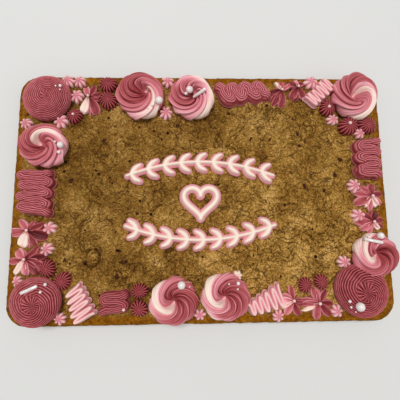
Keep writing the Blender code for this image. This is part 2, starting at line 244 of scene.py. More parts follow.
@dataclass
class Shell:
    """A closed surface: points in millimetres, their tints, and its faces."""

    points: Array
    tints: Array
    quads: Array
    triangles: Array = field(default_factory=lambda: np.zeros((0, 3), int))

    # Around a place its height is looked for among the points as near as this,
    # or nearly as near as the nearest one.
    NEAR = 1.2
    NEARLY = 0.1

    @staticmethod
    def joined(shells: list["Shell"]) -> "Shell":
        """Several shells as one.

        Args:
            shells: the shells to join.

        Returns:
            One shell that holds them all.
        """
        starts = np.cumsum([0] + [len(shell.points) for shell in shells])
        return Shell(
            np.vstack([shell.points for shell in shells]),
            np.concatenate([shell.tints for shell in shells]),
            np.vstack([shell.quads + start for shell, start in zip(shells, starts)]),
            np.vstack([shell.triangles + start for shell, start in zip(shells, starts)]),
        )

    @staticmethod
    def wrapped(grid: Array, tints: Array, apex: Array, apex_tint: float, foot: Array) -> "Shell":
        """A surface wrapped round an axis, from its foot ring up to one point.

        Args:
            grid: points by ring and column, with the columns counter-clockwise.
            tints: the tint of each of them.
            apex: the point that closes the last ring.
            apex_tint: its tint.
            foot: the point that closes the first ring from below.

        Returns:
            The closed shell.
        """
        rings, columns = grid.shape[:2]
        index = np.arange(rings * columns).reshape(rings, columns)
        after = np.roll(index, -1, axis=1)
        top, bottom = rings * columns, rings * columns + 1
        caps = [
            np.stack([index[-1], after[-1], np.full(columns, top)], -1),
            np.stack([after[0], index[0], np.full(columns, bottom)], -1),
        ]
        return Shell(
            np.vstack([grid.reshape(-1, 3), apex, foot]),
            np.concatenate([tints.ravel(), [apex_tint, tints[0].mean()]]),
            np.stack([index[:-1], after[:-1], after[1:], index[1:]], -1).reshape(-1, 4),
            np.vstack(caps),
        )

    @staticmethod
    def plain(grid: Array, apex: Array, foot: Array) -> "Shell":
        """A wrapped surface, as above, whose tint is 1 all over."""
        return Shell.wrapped(grid, np.ones(grid.shape[:2]), apex, 1.0, foot)

    def height_at(self, x: float, y: float) -> float:
        """The height of the surface's top near a place, in millimetres."""
        away = np.hypot(self.points[:, 0] - x, self.points[:, 1] - y)
        return float(self.points[away < max(self.NEAR, away.min() + self.NEARLY), 2].max())

    def to_object(self, name: str, material: bpy.types.Material) -> bpy.types.Object:
        """Makes the mesh object, smooth shaded, with the tints as an attribute.

        Args:
            name: the object's name.
            material: its material.

        Returns:
            The object, at the origin.
        """
        mesh = bpy.data.meshes.new(name)
        corners = np.concatenate([self.quads.ravel(), self.triangles.ravel()]).astype(np.int32)
        sizes = np.concatenate([np.full(len(self.quads), 4), np.full(len(self.triangles), 3)])
        starts = np.concatenate([[0], np.cumsum(sizes)[:-1]]).astype(np.int32)
        mesh.vertices.add(len(self.points))
        mesh.vertices.foreach_set("co", (self.points * MM).astype(np.float32).ravel())
        mesh.loops.add(len(corners))
        mesh.loops.foreach_set("vertex_index", corners)
        mesh.polygons.add(len(sizes))
        mesh.polygons.foreach_set("loop_start", starts)
        mesh.update(calc_edges=True)
        mesh.shade_smooth()
        tint = mesh.attributes.new("tint", "FLOAT", "POINT")
        tint.data.foreach_set("value", self.tints.astype(np.float32))
        mesh.materials.append(material)
        thing = bpy.data.objects.new(name, mesh)
        bpy.context.scene.collection.objects.link(thing)
        return thing


Operand = Union["Value", float]


def math_method(operation: str, reflected: bool = False) -> Callable[["Value", Operand], "Value"]:
    """A method of Value that adds a Math node.

    Args:
        operation: the node's operation.
        reflected: whether the other operand comes first.

    Returns:
        The method.
    """

    def method(self: "Value", other: Operand) -> "Value":
        """The operation's result."""
        first, second = (other, self) if reflected else (self, other)
        return self.graph.node("ShaderNodeMath", {"operation": operation}, {0: first, 1: second})

    return method


class Value:
    """A shader socket that takes part in Python arithmetic."""

    __add__ = math_method("ADD")
    __radd__ = math_method("ADD", reflected=True)
    __sub__ = math_method("SUBTRACT")
    __rsub__ = math_method("SUBTRACT", reflected=True)
    __mul__ = math_method("MULTIPLY")
    __rmul__ = math_method("MULTIPLY", reflected=True)

    def __init__(self, graph: "Graph", socket: bpy.types.NodeSocket) -> None:
        """Wraps a socket of a graph."""
        self.graph = graph
        self.socket = socket

    def ramp(self, low: float, high: float) -> "Value":
        """0 at low, 1 at high, and a straight, clamped rise in between."""
        sockets = {"Value": self, "From Min": low, "From Max": high}
        return self.graph.node("ShaderNodeMapRange", {"clamp": True}, sockets)


class Graph:
    """The node tree of one material."""

    def __init__(self, name: str) -> None:
        """Starts a material with a Principled shader.

        Args:
            name: the material's name.
        """
        self.material = bpy.data.materials.new(name)
        self.material.use_nodes = True
        self.tree = self.material.node_tree
        self.shader = self.tree.nodes["Principled BSDF"]

    def node(self, kind: str, settings: dict[str, Any], sockets: dict[Any, Any], output: Any = 0) -> Value:
        """Adds a node.

        Args:
            kind: the node's type.
            settings: its settings, with a ramp's stops under "stops".
            sockets: values or links of its inputs, by name or number.
            output: the output that is wanted.

        Returns:
            That output.
        """
        made = self.tree.nodes.new(kind)
        for key, value in settings.items():
            if key == "stops":
                self._set_stops(made.color_ramp, value)
            else:
                setattr(made, key, value)
        for key, value in sockets.items():
            if isinstance(value, Value):
                self.tree.links.new(value.socket, made.inputs[key])
            else:
                made.inputs[key].default_value = value
        return Value(self, made.outputs[output])

    @staticmethod
    def _set_stops(ramp: bpy.types.ColorRamp, stops: list[tuple[float, Colour]]) -> None:
        """Gives a colour ramp its stops.

        Args:
            ramp: the ramp, which starts with two.
            stops: the place and colour of each.
        """
        while len(ramp.elements) < len(stops):
            ramp.elements.new(0.5)
        for element, (place, colour) in zip(ramp.elements, stops):
            element.position = place
            element.color = (*colour, 1.0)

    def place(self) -> Value:
        """The object coordinates, in metres."""
        return self.node("ShaderNodeTexCoord", {}, {}, "Object")

    def attribute(self, name: str) -> Value:
        """A number that the mesh stores for each of its points."""
        return self.node("ShaderNodeAttribute", {"attribute_name": name}, {}, "Fac")

    def noise(self, size_mm: float, detail: float = 2.0, roughness: float = 0.5, curl: float = 0.0) -> Value:
        """Noise from 0 to 1 on the object coordinates.

        Args:
            size_mm: the size of its lumps.
            detail: how many finer layers it has.
            roughness: how strong they are.
            curl: how far the lumps are drawn out into curls.

        Returns:
            The noise.
        """
        sockets = {
            "Vector": self.place(),
            "Scale": 1 / (size_mm * MM),
            "Detail": detail,
            "Roughness": roughness,
            "Distortion": curl,
        }
        return self.node("ShaderNodeTexNoise", {"noise_dimensions": "3D"}, sockets)

    def colours(self, stops: Any, share: Value) -> Value:
        """The colour of a ramp, given by its stops, at a share of the way along it."""
        return self.node("ShaderNodeValToRGB", {"stops": stops}, {"Fac": share})

    def blend(self, share: Any, first: Any, second: Any, kind: str = "MIX") -> Value:
        """Two colours mixed.

        Args:
            share: how much of the second goes in, 0 to 1.
            first: a colour or a link.
            second: a colour or a link.
            kind: the node's way of mixing.

        Returns:
            The mixed colour.
        """
        colours = [(*colour, 1.0) if isinstance(colour, tuple) else colour for colour in (first, second)]
        settings = {"data_type": "RGBA", "blend_type": kind, "clamp_factor": True}
        return self.node("ShaderNodeMix", settings, {0: share, 6: colours[0], 7: colours[1]}, 2)

    def bump(self, height: Value, strength: float, depth_mm: float) -> Value:
        """The normal of a relief whose height runs from 0 to 1 times the depth."""
        sockets = {"Strength": strength, "Distance": depth_mm * MM, "Height": height}
        return self.node("ShaderNodeBump", {}, sockets)

    def finish(self, constants: dict[str, float], links: dict[str, Value]) -> bpy.types.Material:
        """Sets the shader's own sockets and links.

        Args:
            constants: the numbers that are the same all over.
            links: what changes over the surface.

        Returns:
            The material.
        """
        for key, number in constants.items():
            self.shader.inputs[key].default_value = number
        for key, value in links.items():
            self.tree.links.new(value.socket, self.shader.inputs[key])
        return self.material


@dataclass(frozen=True)
class Buttercream:
    """Whipped frosting: the tint attribute runs from painted shade in grooves to cream.

    Slow noise mottles the tint as half-mixed colouring does, and fine noise
    gives the faint grain of powdered sugar.
    """

    name: str
    mottle: float = 0.07
    roughness: float = 0.42

    GRAIN_MM = 0.9
    COLOURS = {
        # The first stop is painted shade; the others are the frosting's own colours.
        Tint.GROOVE: rgb(92, 22, 26),
        Tint.DEEP: rgb(140, 54, 57),
        Tint.ROSE: rgb(176, 80, 84),
        Tint.MAUVE: rgb(202, 109, 116),
        Tint.PINK: rgb(226, 140, 149),
        Tint.BLUSH: rgb(246, 176, 186),
        Tint.CREAM: rgb(255, 234, 218),
    }

    def material(self) -> bpy.types.Material:
        """Colours the mottled tint by a ramp and adds the grain.

        Returns:
            The material.
        """
        graph = Graph(self.name)
        mottled = graph.attribute("tint") + (graph.noise(9, 3) - 0.5) * (2 * self.mottle)
        low, high = Tint.GROOVE.value, Tint.CREAM.value
        stops = [((tint.value - low) / (high - low), colour) for tint, colour in self.COLOURS.items()]
        colour = graph.colours(stops, mottled.ramp(low, high))
        grain = graph.noise(self.GRAIN_MM, 3, 0.6)
        rough = self.roughness + (graph.noise(4) - 0.5) * 0.2
        links = {"Base Color": colour, "Roughness": rough, "Normal": graph.bump(grain, 0.35, 0.25)}
        return graph.finish({"IOR": 1.45, "Specular IOR Level": 0.28}, links)


@dataclass(frozen=True)
class BakedCrust:
    """The cookie's crust: crumb in several browns, painted dark in pits as shade, golden at its rim.

    It gets lighter towards the slab's front right corner. The tint
    attribute is the crust's rise: 0 in a crack or pit, 1 on a crag; by it the
    crumb carries painted shade in hollows and painted light on crags. The rim
    attribute is 1 on the slab's baked edge and side.
    """

    name: str = "baked_crust"

    CRUMB = (
        (0.0, rgb(80, 50, 14)),
        (0.25, rgb(115, 80, 27)),
        (0.5, rgb(140, 101, 41)),
        (0.75, rgb(165, 125, 59)),
        (1.0, rgb(196, 154, 90)),
    )
    RIM = ((0.25, rgb(88, 48, 4)), (0.5, rgb(140, 86, 8)), (0.75, rgb(182, 122, 22)))
    # What the crumb's colour is multiplied by towards the front right corner.
    PALER = (1.42, 1.46, 1.55)
    TOASTED = rgb(120, 66, 22)
    CRACK_SHADE = rgb(60, 31, 7)
    HOLE_SHADOW = rgb(44, 20, 4)
    # The hairline cracks lie where noise of a size in mm is within a narrow
    # spread of its middle. The third number is how dark their painted shade is,
    # and also how deep their bump is.
    HAIRLINES = ((21, 0.0006, 0.7), (10, 0.0012, 0.42))
    HOLES_PER_METRE = 110.0

    def material(self) -> bpy.types.Material:
        """Colours the crumb, then lays patches, the painted shade of hairline cracks and holes, and the rim
        over it.

        Returns:
            The material.
        """
        graph = Graph(self.name)
        grit = graph.noise(1.6, 3, 0.7, 0.6)
        grain = graph.noise(4.4, 4, 0.65, 1.6)
        patches = graph.noise(26, 3, 0.6)
        # The tint attribute adds painted shade in hollows and painted light on crags.
        crumb = (grit - 0.5) * 2.3 + (grain - 0.5) * 1.4 + (patches - 0.5) * 0.9 + graph.attribute("tint")
        colour = graph.colours(self.CRUMB, crumb)
        across, upwards = (
            graph.node("ShaderNodeSeparateXYZ", {}, {0: graph.place()}, axis) for axis in ("X", "Y")
        )
        paler_crumb = graph.blend(1.0, colour, self.PALER, "MULTIPLY")
        colour = graph.blend((across - 0.8 * upwards).ramp(-0.12, 0.2), colour, paler_crumb)
        colour = graph.blend(graph.noise(8, 3, 0.6, 0.8).ramp(0.56, 0.7) * 0.5, colour, self.TOASTED)
        cracked = (across - upwards).ramp(-0.25, 0.25) * 0.35 + graph.noise(34) * 0.9
        rumple: Operand = 0.0
        for size, spread, darkness in self.HAIRLINES:
            hairline = graph.noise(size, 1.5, 0.5, 1.2) - 0.5
            crease = 1.0 - (hairline * hairline).ramp(0.0, spread)
            rumple = rumple + crease * darkness
            # Painted shade in the hairline cracks.
            colour = graph.blend(crease * cracked.ramp(0.4, 0.6) * darkness, colour, self.CRACK_SHADE)
        # Painted shadow in small holes.
        cells = {"Vector": graph.place(), "Scale": self.HOLES_PER_METRE}
        hole = graph.node("ShaderNodeTexVoronoi", {}, cells, "Distance") + (graph.noise(18, 1) - 0.42) * 0.9
        colour = graph.blend(1.0 - hole.ramp(0.08, 0.16), colour, self.HOLE_SHADOW)
        golden = graph.colours(self.RIM, graph.noise(5, 4, 0.65))
        links = {
            "Base Color": graph.blend(graph.attribute("rim"), colour, golden),
            "Roughness": 0.62 + grain * 0.3,
            "Normal": graph.bump(grain * 0.4 + grit * 0.4 - rumple * 0.6, 1.0, 1.4),
        }
        return graph.finish({"IOR": 1.4, "Specular IOR Level": 0.12}, links)


@dataclass(frozen=True)
class Chocolate:
    """Chocolate bits: dark brown, dulled by baking."""

    name: str = "baked_chocolate"

    def material(self) -> bpy.types.Material:
        """Blends dark and dull brown by noise that also roughens and dents them.

        Returns:
            The material.
        """
        graph = Graph(self.name)
        bloom = graph.noise(2.2, 4, 0.6)
        colour = graph.blend(bloom.ramp(0.5, 0.8), rgb(60, 27, 8), rgb(112, 70, 32))
        rough = 0.55 + bloom * 0.35
        links = {"Base Color": colour, "Roughness": rough, "Normal": graph.bump(bloom, 0.5, 0.4)}
        return graph.finish({"IOR": 1.45, "Specular IOR Level": 0.2}, links)


@dataclass(frozen=True)
class PearlSugar:
    """Polished sugar: pale with a pearly sheen."""

    name: str = "pearl_sugar"
    light: Colour = rgb(250, 244, 240)
    shade: Colour = rgb(236, 222, 220)

    def material(self) -> bpy.types.Material:
        """Blends two pale colours by noise, under a thin clear coat.

        Returns:
            The material.
        """
        graph = Graph(self.name)
        haze = graph.noise(3)
        colour = graph.blend(haze.ramp(0.35, 0.7), self.light, self.shade)
        links = {"Base Color": colour, "Roughness": 0.16 + haze * 0.12}
        return graph.finish({"IOR": 1.5, "Coat Weight": 0.5, "Coat Roughness": 0.08}, links)


@dataclass(frozen=True)
class PaleFloor:
    """The floor: matt and pale, with the faint unevenness of paper."""

    name: str = "pale_floor"

    def material(self) -> bpy.types.Material:
        """Blends two pale greys by wide noise.

        Returns:
            The material.
        """
        graph = Graph(self.name)
        colour = graph.blend(graph.noise(300), rgb(229, 229, 227), rgb(226, 226, 224))
        return graph.finish({"Roughness": 0.9, "Specular IOR Level": 0.1}, {"Base Color": colour})


@dataclass(frozen=True)
class Spot:
    """Where a round piece stands: its CAD node, middle, radius, height and turn."""

    node: str
    x: float
    y: float
    radius: float
    height: float
    turn: float = 0.0

    def placed(self, around: Array, reach: Array, height: Array) -> Array:
        """Points round the spot's axis.

        Args:
            around: their angles, in radians.
            reach: their distances from the axis.
            height: their heights above the foot.

        Returns:
            Their x, y and z.
        """
        reach = np.maximum(reach, LEAST_REACH)
        x, y = self.x + reach * np.cos(around), self.y + reach * np.sin(around)
        return np.stack([x, y, FOOT + np.maximum(height, 0.0)], -1)

    def wrapped(self, points: Array, tints: Array) -> Shell:
        """A closed shell from rings of points, with its foot sunk into the crust.

        Args:
            points: points by ring and column, from the foot to the middle.
            tints: the tint of each of them.

        Returns:
            The shell.
        """
        foot = points[:1].copy()
        foot[..., 2] = FOOT - SUNK
        tints = Tint.clipped(np.vstack([tints[:1], tints]))
        base = np.array([self.x, self.y, FOOT - SUNK])
        apex = points[-1].mean(axis=0)
        return Shell.wrapped(np.vstack([foot, points]), tints, apex, float(tints[-1].mean()), base)


class OnSpot:
    """A piece that stands on a spot and is named after it."""

    spot: Spot

    @property
    def node(self) -> str:
        """The CAD node that it stands for."""
        return self.spot.node


@dataclass(frozen=True)
class SwirlRosette(OnSpot):
    """A rosette from an open star tip: broad ridges that wind from rim to pit.

    Around a turned profile, each ridge follows a spiral: its angle is the twist
    times one minus a power of its share of the largest reach. Across a ridge
    the surface climbs slowly to a crest and falls off fast behind it, as
    ribbons that overlap do, and the ridges differ in width. The surface lies
    below the profile, along its normal, by the ridge's depth times one minus
    that arch, and by the faint noise of the streaks that run along a ridge.
    Each ridge has one tint at the rim and another inside, with a painted
    highlight on its crest, painted shade in its grooves, painted light and
    shade of fine ridges, and streaks along it. Painted shade darkens the pit.
    """

    spot: Spot
    rim: str
    inner: str
    twist: float
    coil: float
    pit: Place = (0.0, 0.0)
    inner_from: float = 0.3
    broad: int = -1
    seed: int = 1

    PROFILE = (
        ((0.88, 0.0), (0.97, 0.12), (1.0, 0.3), (0.99, 0.48), (0.94, 0.66), (0.85, 0.82), (0.72, 0.94))
        + ((0.58, 1.0), (0.44, 0.96), (0.33, 0.82), (0.24, 0.6), (0.17, 0.42), (0.11, 0.33))
        + ((0.06, 0.32), (0.02, 0.33))
    )
    RINGS = 96
    COLUMNS = 396
    # The ranges of the ridges' widths and of their crests' places, and the
    # width of the broad ridge.
    WIDTHS = (0.75, 1.25)
    CRESTS = (0.62, 0.85)
    BROAD_WIDTH = 1.5
    ARCH_POWER = 0.55
    # The depth of a ridge as a share of the radius, and of a streak.
    DEPTH = 0.13
    STREAK_DEPTH = 0.28

    def build(self) -> Shell:
        """Works out the ridges and their tints, as said above.

        Returns:
            The rosette's shell.
        """
        spot = self.spot
        rng = np.random.default_rng(self.seed)
        count = len(self.rim)
        widths = rng.uniform(*self.WIDTHS, count)
        if self.broad >= 0:
            widths[self.broad] = self.BROAD_WIDTH
        edges = np.concatenate([[0.0], np.cumsum(widths)]) / widths.sum()
        column = np.arange(self.COLUMNS) / self.COLUMNS
        arm = np.searchsorted(edges, column, side="right") - 1
        across = (column - edges[arm]) / (edges[arm + 1] - edges[arm])
        crest = rng.uniform(*self.CRESTS, count)[arm]
        arch = np.where(across < crest, across / crest, (1 - across) / (1 - crest)) ** self.ARCH_POWER
        profile = smooth_curve(self.PROFILE, self.RINGS) * (spot.radius, spot.height)
        normals = profile_normals(profile)
        rise = np.linspace(0, 1, self.RINGS)[:, None]
        reach, height = profile[:, :1], profile[:, 1:]
        inward = 1 - (reach / reach.max()) ** self.coil
        wound = np.where(rise < rise[reach.argmax()], -0.4 * inward, inward)
        around = 2 * np.pi * column + np.radians(spot.turn + self.twist * wound)
        depth = self.DEPTH * spot.radius * np.minimum(1.0, 0.25 + reach / (0.42 * spot.radius))
        depth = depth * (0.7 + 0.5 * rng.random(count))[arm] * smooth_step(1.0, 0.92, rise)
        streaks = lattice_noise(column * NOISE_CELLS, rise * 3, self.seed)
        dent = depth * (1 - arch) + self.STREAK_DEPTH * streaks * smooth_step(1.0, 0.8, rise)
        tail = 1 + 0.09 * (rng.random(count) - 0.6)[arm] + 0.03 * np.sin(2 * around + self.seed)
        lean = 1 + 0.07 * np.sin(around + 2.1 * self.seed)
        out = (reach - normals[:, :1] * dent) * tail
        up = (height - normals[:, 1:] * dent) * lean
        points = spot.placed(around, out, up)
        points[..., :2] += np.array(self.pit) * smooth_step(0.5, 1.0, rise)[..., None]
        # The tints: each ridge's own, softened towards its neighbour's.
        rim, inner = Tint.values(self.rim), Tint.values(self.inner)
        shade = rim + (inner - rim) * smooth_step(self.inner_from, self.inner_from + 0.2, rise)
        own, before = shade[:, arm], shade[:, arm - 1]
        tints = own + 0.6 * (before - own) * smooth_step(0.3, 0.0, across)
        # Painted shade in the grooves between ridges, a painted highlight along each crest, and painted
        # light and shade of fine ridges that the mesh lacks.
        groove = smooth_step(0.87, 1.0, np.abs(2 * across - 1))
        fine = np.cos(8 * np.pi * across + self.seed + 0.8 * streaks)
        relief = 0.22 * bell((across - crest) / 0.07) - 0.42 * groove + 0.11 * fine
        tints = tints + relief * (1 - 0.6 * own)
        veins = lattice_noise(column * NOISE_CELLS, rise * 1.6 + 9, self.seed)
        tints = tints + 0.12 * streaks + 0.26 * smooth_step(0.45, 0.9, veins) * (0.9 - own) - 0.03
        # Painted shade darkens the pit in the middle.
        return spot.wrapped(points, tints - 0.2 * smooth_step(0.84, 1.0, rise))


@dataclass(frozen=True)
class FineRosette(OnSpot):
    """A rosette from a fine French tip: narrow ridges that wind round and round.

    The ridges are lines of equal phase, where the phase is the distance from
    the middle along the profile, in pitches, plus the arms times the turn, plus
    slow noise. Within the fan's reach of the middle they give way to straight
    ridges. The surface dips by the ridge depth where the phase is halfway
    between two whole numbers.
    """

    spot: Spot
    arms: int
    fan: int
    fan_reach: float
    middle: Place
    pitch: float
    depth: float = 1.7
    tone: float = 0.0
    seed: int = 1

    PROFILE = (
        ((0.9, 0.0), (0.98, 0.14), (1.0, 0.34), (0.98, 0.54), (0.92, 0.72), (0.82, 0.86), (0.68, 0.95))
        + ((0.52, 0.99), (0.36, 1.0), (0.2, 0.97), (0.08, 0.93), (0.01, 0.92))
    )
    RINGS = 130
    COLUMNS = 300

    def build(self) -> Shell:
        """Works out the ridges, as said above. Their tint rises with them: painted light on the crests and
        painted shade in the grooves.

        Returns:
            The rosette's shell.
        """
        spot = self.spot
        profile = smooth_curve(self.PROFILE, self.RINGS) * (spot.radius, spot.height)
        normals = profile_normals(profile)
        steps = np.linalg.norm(np.diff(profile, axis=0), axis=1)
        inward = np.concatenate([[0.0], np.cumsum(steps)])[:, None]
        outward = inward[-1] - inward
        around = whole_turn(self.COLUMNS)
        wobble = layered_noise(np.cos(around) * 2 + outward / 12, np.sin(around) * 2, 1.0, 2, self.seed)
        phase = outward / self.pitch + self.arms * around / (2 * np.pi) + 0.3 * wobble
        fan_ridge = np.abs(np.cos(self.fan * around / 2 + outward * 0.12 + 0.4 * wobble))
        fan_share = smooth_step(1.1, 0.6, outward / (self.fan_reach * (1 + 0.3 * np.cos(around - 2.4))))
        ridge = np.abs(np.cos(np.pi * phase)) * (1 - fan_share) + fan_ridge * fan_share
        dent = self.depth * (1 - ridge) * np.minimum(1.0, 0.15 + outward / 7)
        bulge = 1 + 0.018 * np.sin(2 * around + self.seed) + 0.012 * np.sin(3 * around)
        out = (profile[:, :1] - normals[:, :1] * dent) * bulge
        up = (profile[:, 1:] - normals[:, 1:] * dent) * (1 + 0.05 * np.sin(around + self.seed))
        points = spot.placed(around, out, up)
        drift = smooth_step(0.0, 1.0, 1 - outward / inward[-1])
        points[..., :2] += np.array(self.middle) * drift[..., None]
        x, y = np.cos(around) * outward / 3, np.sin(around) * outward / 3
        uneven = layered_noise(x, y, 1.0, 2, self.seed + 5)
        # Painted light on the ridges' crests and painted shade between them.
        return spot.wrapped(points, self.tone + 0.62 * ridge - 0.24 + 0.07 * uneven)


@dataclass(frozen=True)
class StarDab(OnSpot):
    """A small star that is squeezed out and pulled up: ribs about its middle.

    The reach and the height of a turned profile shrink between two ribs by the
    groove's share. Across a rib they follow a power of the absolute cosine of
    half the rib angle: a small power makes round lobes, a large one thin ribs.
    The tint rises with the ribs by the crest light, a painted highlight on
    the ribs with painted shade between them, and sinks towards the middle by
    the middle dark. A hollow star has a dimple instead of a peak.
    """

    spot: Spot
    ribs: int
    groove: float
    tint: Tint
    swirl: float = 12.0
    crest_light: float = 0.08
    sharpness: float = 0.55
    middle_dark: float = 0.12
    hollow: bool = False
    seed: int = 1

    PEAK = (
        ((1.0, 0.0), (1.0, 0.26), (0.94, 0.5), (0.78, 0.7), (0.54, 0.84))
        + ((0.3, 0.92), (0.12, 1.0), (0.01, 1.0))
    )
    DIMPLE = (
        ((0.95, 0.0), (1.0, 0.28), (0.96, 0.55), (0.82, 0.8), (0.6, 0.96))
        + ((0.38, 1.0), (0.2, 0.9), (0.02, 0.8))
    )
    RINGS = 26
    COLUMNS_A_RIB = 12

    @classmethod
    def drop(cls, spot: Spot, ribs: int, seed: int) -> "StarDab":
        """A light-pink star with a few thick ribs."""
        looks = {"groove": 0.36, "swirl": 14.0, "crest_light": 0.5, "sharpness": 0.9, "middle_dark": 0.2}
        return cls(spot, ribs, tint=Tint.BLUSH, seed=seed, **looks)

    @classmethod
    def button(cls, spot: Spot, ribs: int, seed: int) -> "StarDab":
        """A deep rose star with many fine ribs and a lighter dimple."""
        looks = {"groove": 0.22, "swirl": 6.0, "crest_light": 0.72, "sharpness": 1.2, "middle_dark": -0.17}
        return cls(spot, ribs, tint=Tint.DEEP, hollow=True, seed=seed, **looks)

    def build(self) -> Shell:
        """Works out the ribs, as said above.

        Returns:
            The star's shell.
        """
        spot = self.spot
        profile = smooth_curve(self.DIMPLE if self.hollow else self.PEAK, self.RINGS)
        outward, upward = profile[:, :1], profile[:, 1:]
        rise = np.linspace(0, 1, self.RINGS)[:, None]
        column = whole_turn(self.ribs * self.COLUMNS_A_RIB)
        rib = np.abs(np.cos(self.ribs * column / 2)) ** self.sharpness
        uneven = 1 + 0.06 * np.sin(column * 2 + 1.7 * self.seed) + 0.04 * np.sin(column * 3 + self.seed)
        dent = self.groove * (1 - rib) * smooth_step(1.0, 0.8, rise)
        reach = outward * (1 - dent) * spot.radius * uneven
        height = upward * (1 - 0.55 * dent) * spot.height
        around = column + np.radians(spot.turn + self.swirl * rise)
        points = spot.placed(around, reach, height)
        # Painted highlight on the ribs and painted shade between them, by the crest light.
        tints = self.tint.value + self.crest_light * (rib - 0.7) * (0.3 + 0.7 * outward)
        return spot.wrapped(points, tints - self.middle_dark * (1 - outward) + 0.06 * outward)


@dataclass(frozen=True)
class Petal:
    """A petal: its heading, length and width, its tint's letter and how blunt it is."""

    heading: float
    length: float
    width: float
    tint: str
    blunt: float


@dataclass(frozen=True)
class PetalFlower:
    """A flower of petals, each squeezed from the middle outwards.

    A petal is a closed tube of rings. Its width is a power of the share of its
    length times a power of the rest, so it widens slowly and ends soon. Its
    top sinks as it goes outwards, and is a trough: the height grows with the
    distance from the crease in its middle and falls off at both edges. Its
    edges and tip are lighter, partly in colour and partly as a painted
    highlight, its crease holds painted shade, it darkens towards the flower's
    middle, and faint veins run along it.
    """

    node: str
    x: float
    y: float
    height: float
    petals: tuple[Petal, ...]
    seed: int = 1

    RINGS = 34
    COLUMNS = 44
    # How much higher every second petal lies, and the most that chance adds.
    LIFT = 0.9
    LIFT_SPREAD = 0.4
    # The most that a petal's tip turns aside, in degrees.
    BEND = 9.0

    def build(self) -> Shell:
        """Joins the petals, of which every second one lies higher.

        Returns:
            The flower's shell.
        """
        rng = np.random.default_rng(self.seed)
        shells = []
        for index, petal in enumerate(self.petals):
            lift = self.LIFT * (index % 2) + rng.uniform(0, self.LIFT_SPREAD)
            bend = rng.uniform(-self.BEND, self.BEND)
            shells.append(self._petal(petal, lift, bend, self.seed * 20 + index))
        return Shell.joined(shells)

    def _petal(self, petal: Petal, lift: float, bend: float, seed: int) -> Shell:
        """One petal.

        Args:
            petal: its measures and tint.
            lift: how far it lies above its neighbours.
            bend: how far its tip turns aside, in degrees.
            seed: picks its unevenness.

        Returns:
            Its shell.
        """
        share = np.linspace(0.004, 0.996, self.RINGS)[:, None]
        turn = whole_turn(self.COLUMNS)
        across = np.cos(turn)
        upper = np.maximum(np.sin(turn), 0)
        outline = share ** (0.8 + 0.3 * petal.blunt) * (1 - share) ** (0.85 - 0.5 * petal.blunt)
        half_width = petal.width / 2 * outline / outline.max() + 0.7 * (1 - share) * share**0.3
        sides = layered_noise(3 * share + np.sign(across), 0 * share, 1.0, 2, seed + 7)
        half_width = half_width * (1 + 0.1 * sides)
        ripple = layered_noise(3 * share + across, 0.7 * across, 1.0, 2, seed)
        flank = 1 - np.abs(across) ** 16
        trough = (0.5 + 0.5 * np.abs(across) ** 1.5 - 0.16 * bell(across / 0.13)) * flank
        crown = 0.92 - 0.5 * share**0.7
        top = self.height * 0.92 * crown * trough + lift * flank + 0.25 * ripple * upper
        below = SUNK * np.minimum(np.sin(turn), 0)
        height = np.where(np.sin(turn) > 0, top * np.minimum(1, 9 * (1 - share)), below)
        x, y = turned(petal.length * share, half_width * across, petal.heading + bend * share**2)
        grid = np.stack([self.x + x, self.y + y, FOOT + height], -1)
        tint = float(Tint.values(petal.tint)[0])
        # Lighter edges and tip, partly in colour and partly a painted highlight.
        edge = smooth_step(0.64, 0.86, np.abs(across)) * np.minimum(1, 4 * share)
        tints = tint - 0.19 + (0.5 * edge + 0.16 * smooth_step(0.86, 1.0, share)) * (1 - 0.6 * tint)
        # Painted shade in the crease; the tint also darkens towards the flower's middle.
        crease = bell(across / 0.16) * upper
        tints = tints - 0.14 * crease - 0.1 * (1 - share) ** 3 + 0.07 * ripple + 0.2 * tint
        tints = tints + 0.06 * np.cos(11 * across + 2 * ripple) * upper * (1 - tint)
        start = np.array([self.x, self.y, FOOT])
        return Shell.wrapped(grid, Tint.clipped(tints), grid[-1].mean(axis=0), tint, start)


@dataclass(frozen=True)
class Rope:
    """One line of piping: the places of its middle, with its half width at each."""

    points: Array
    half_width: Array


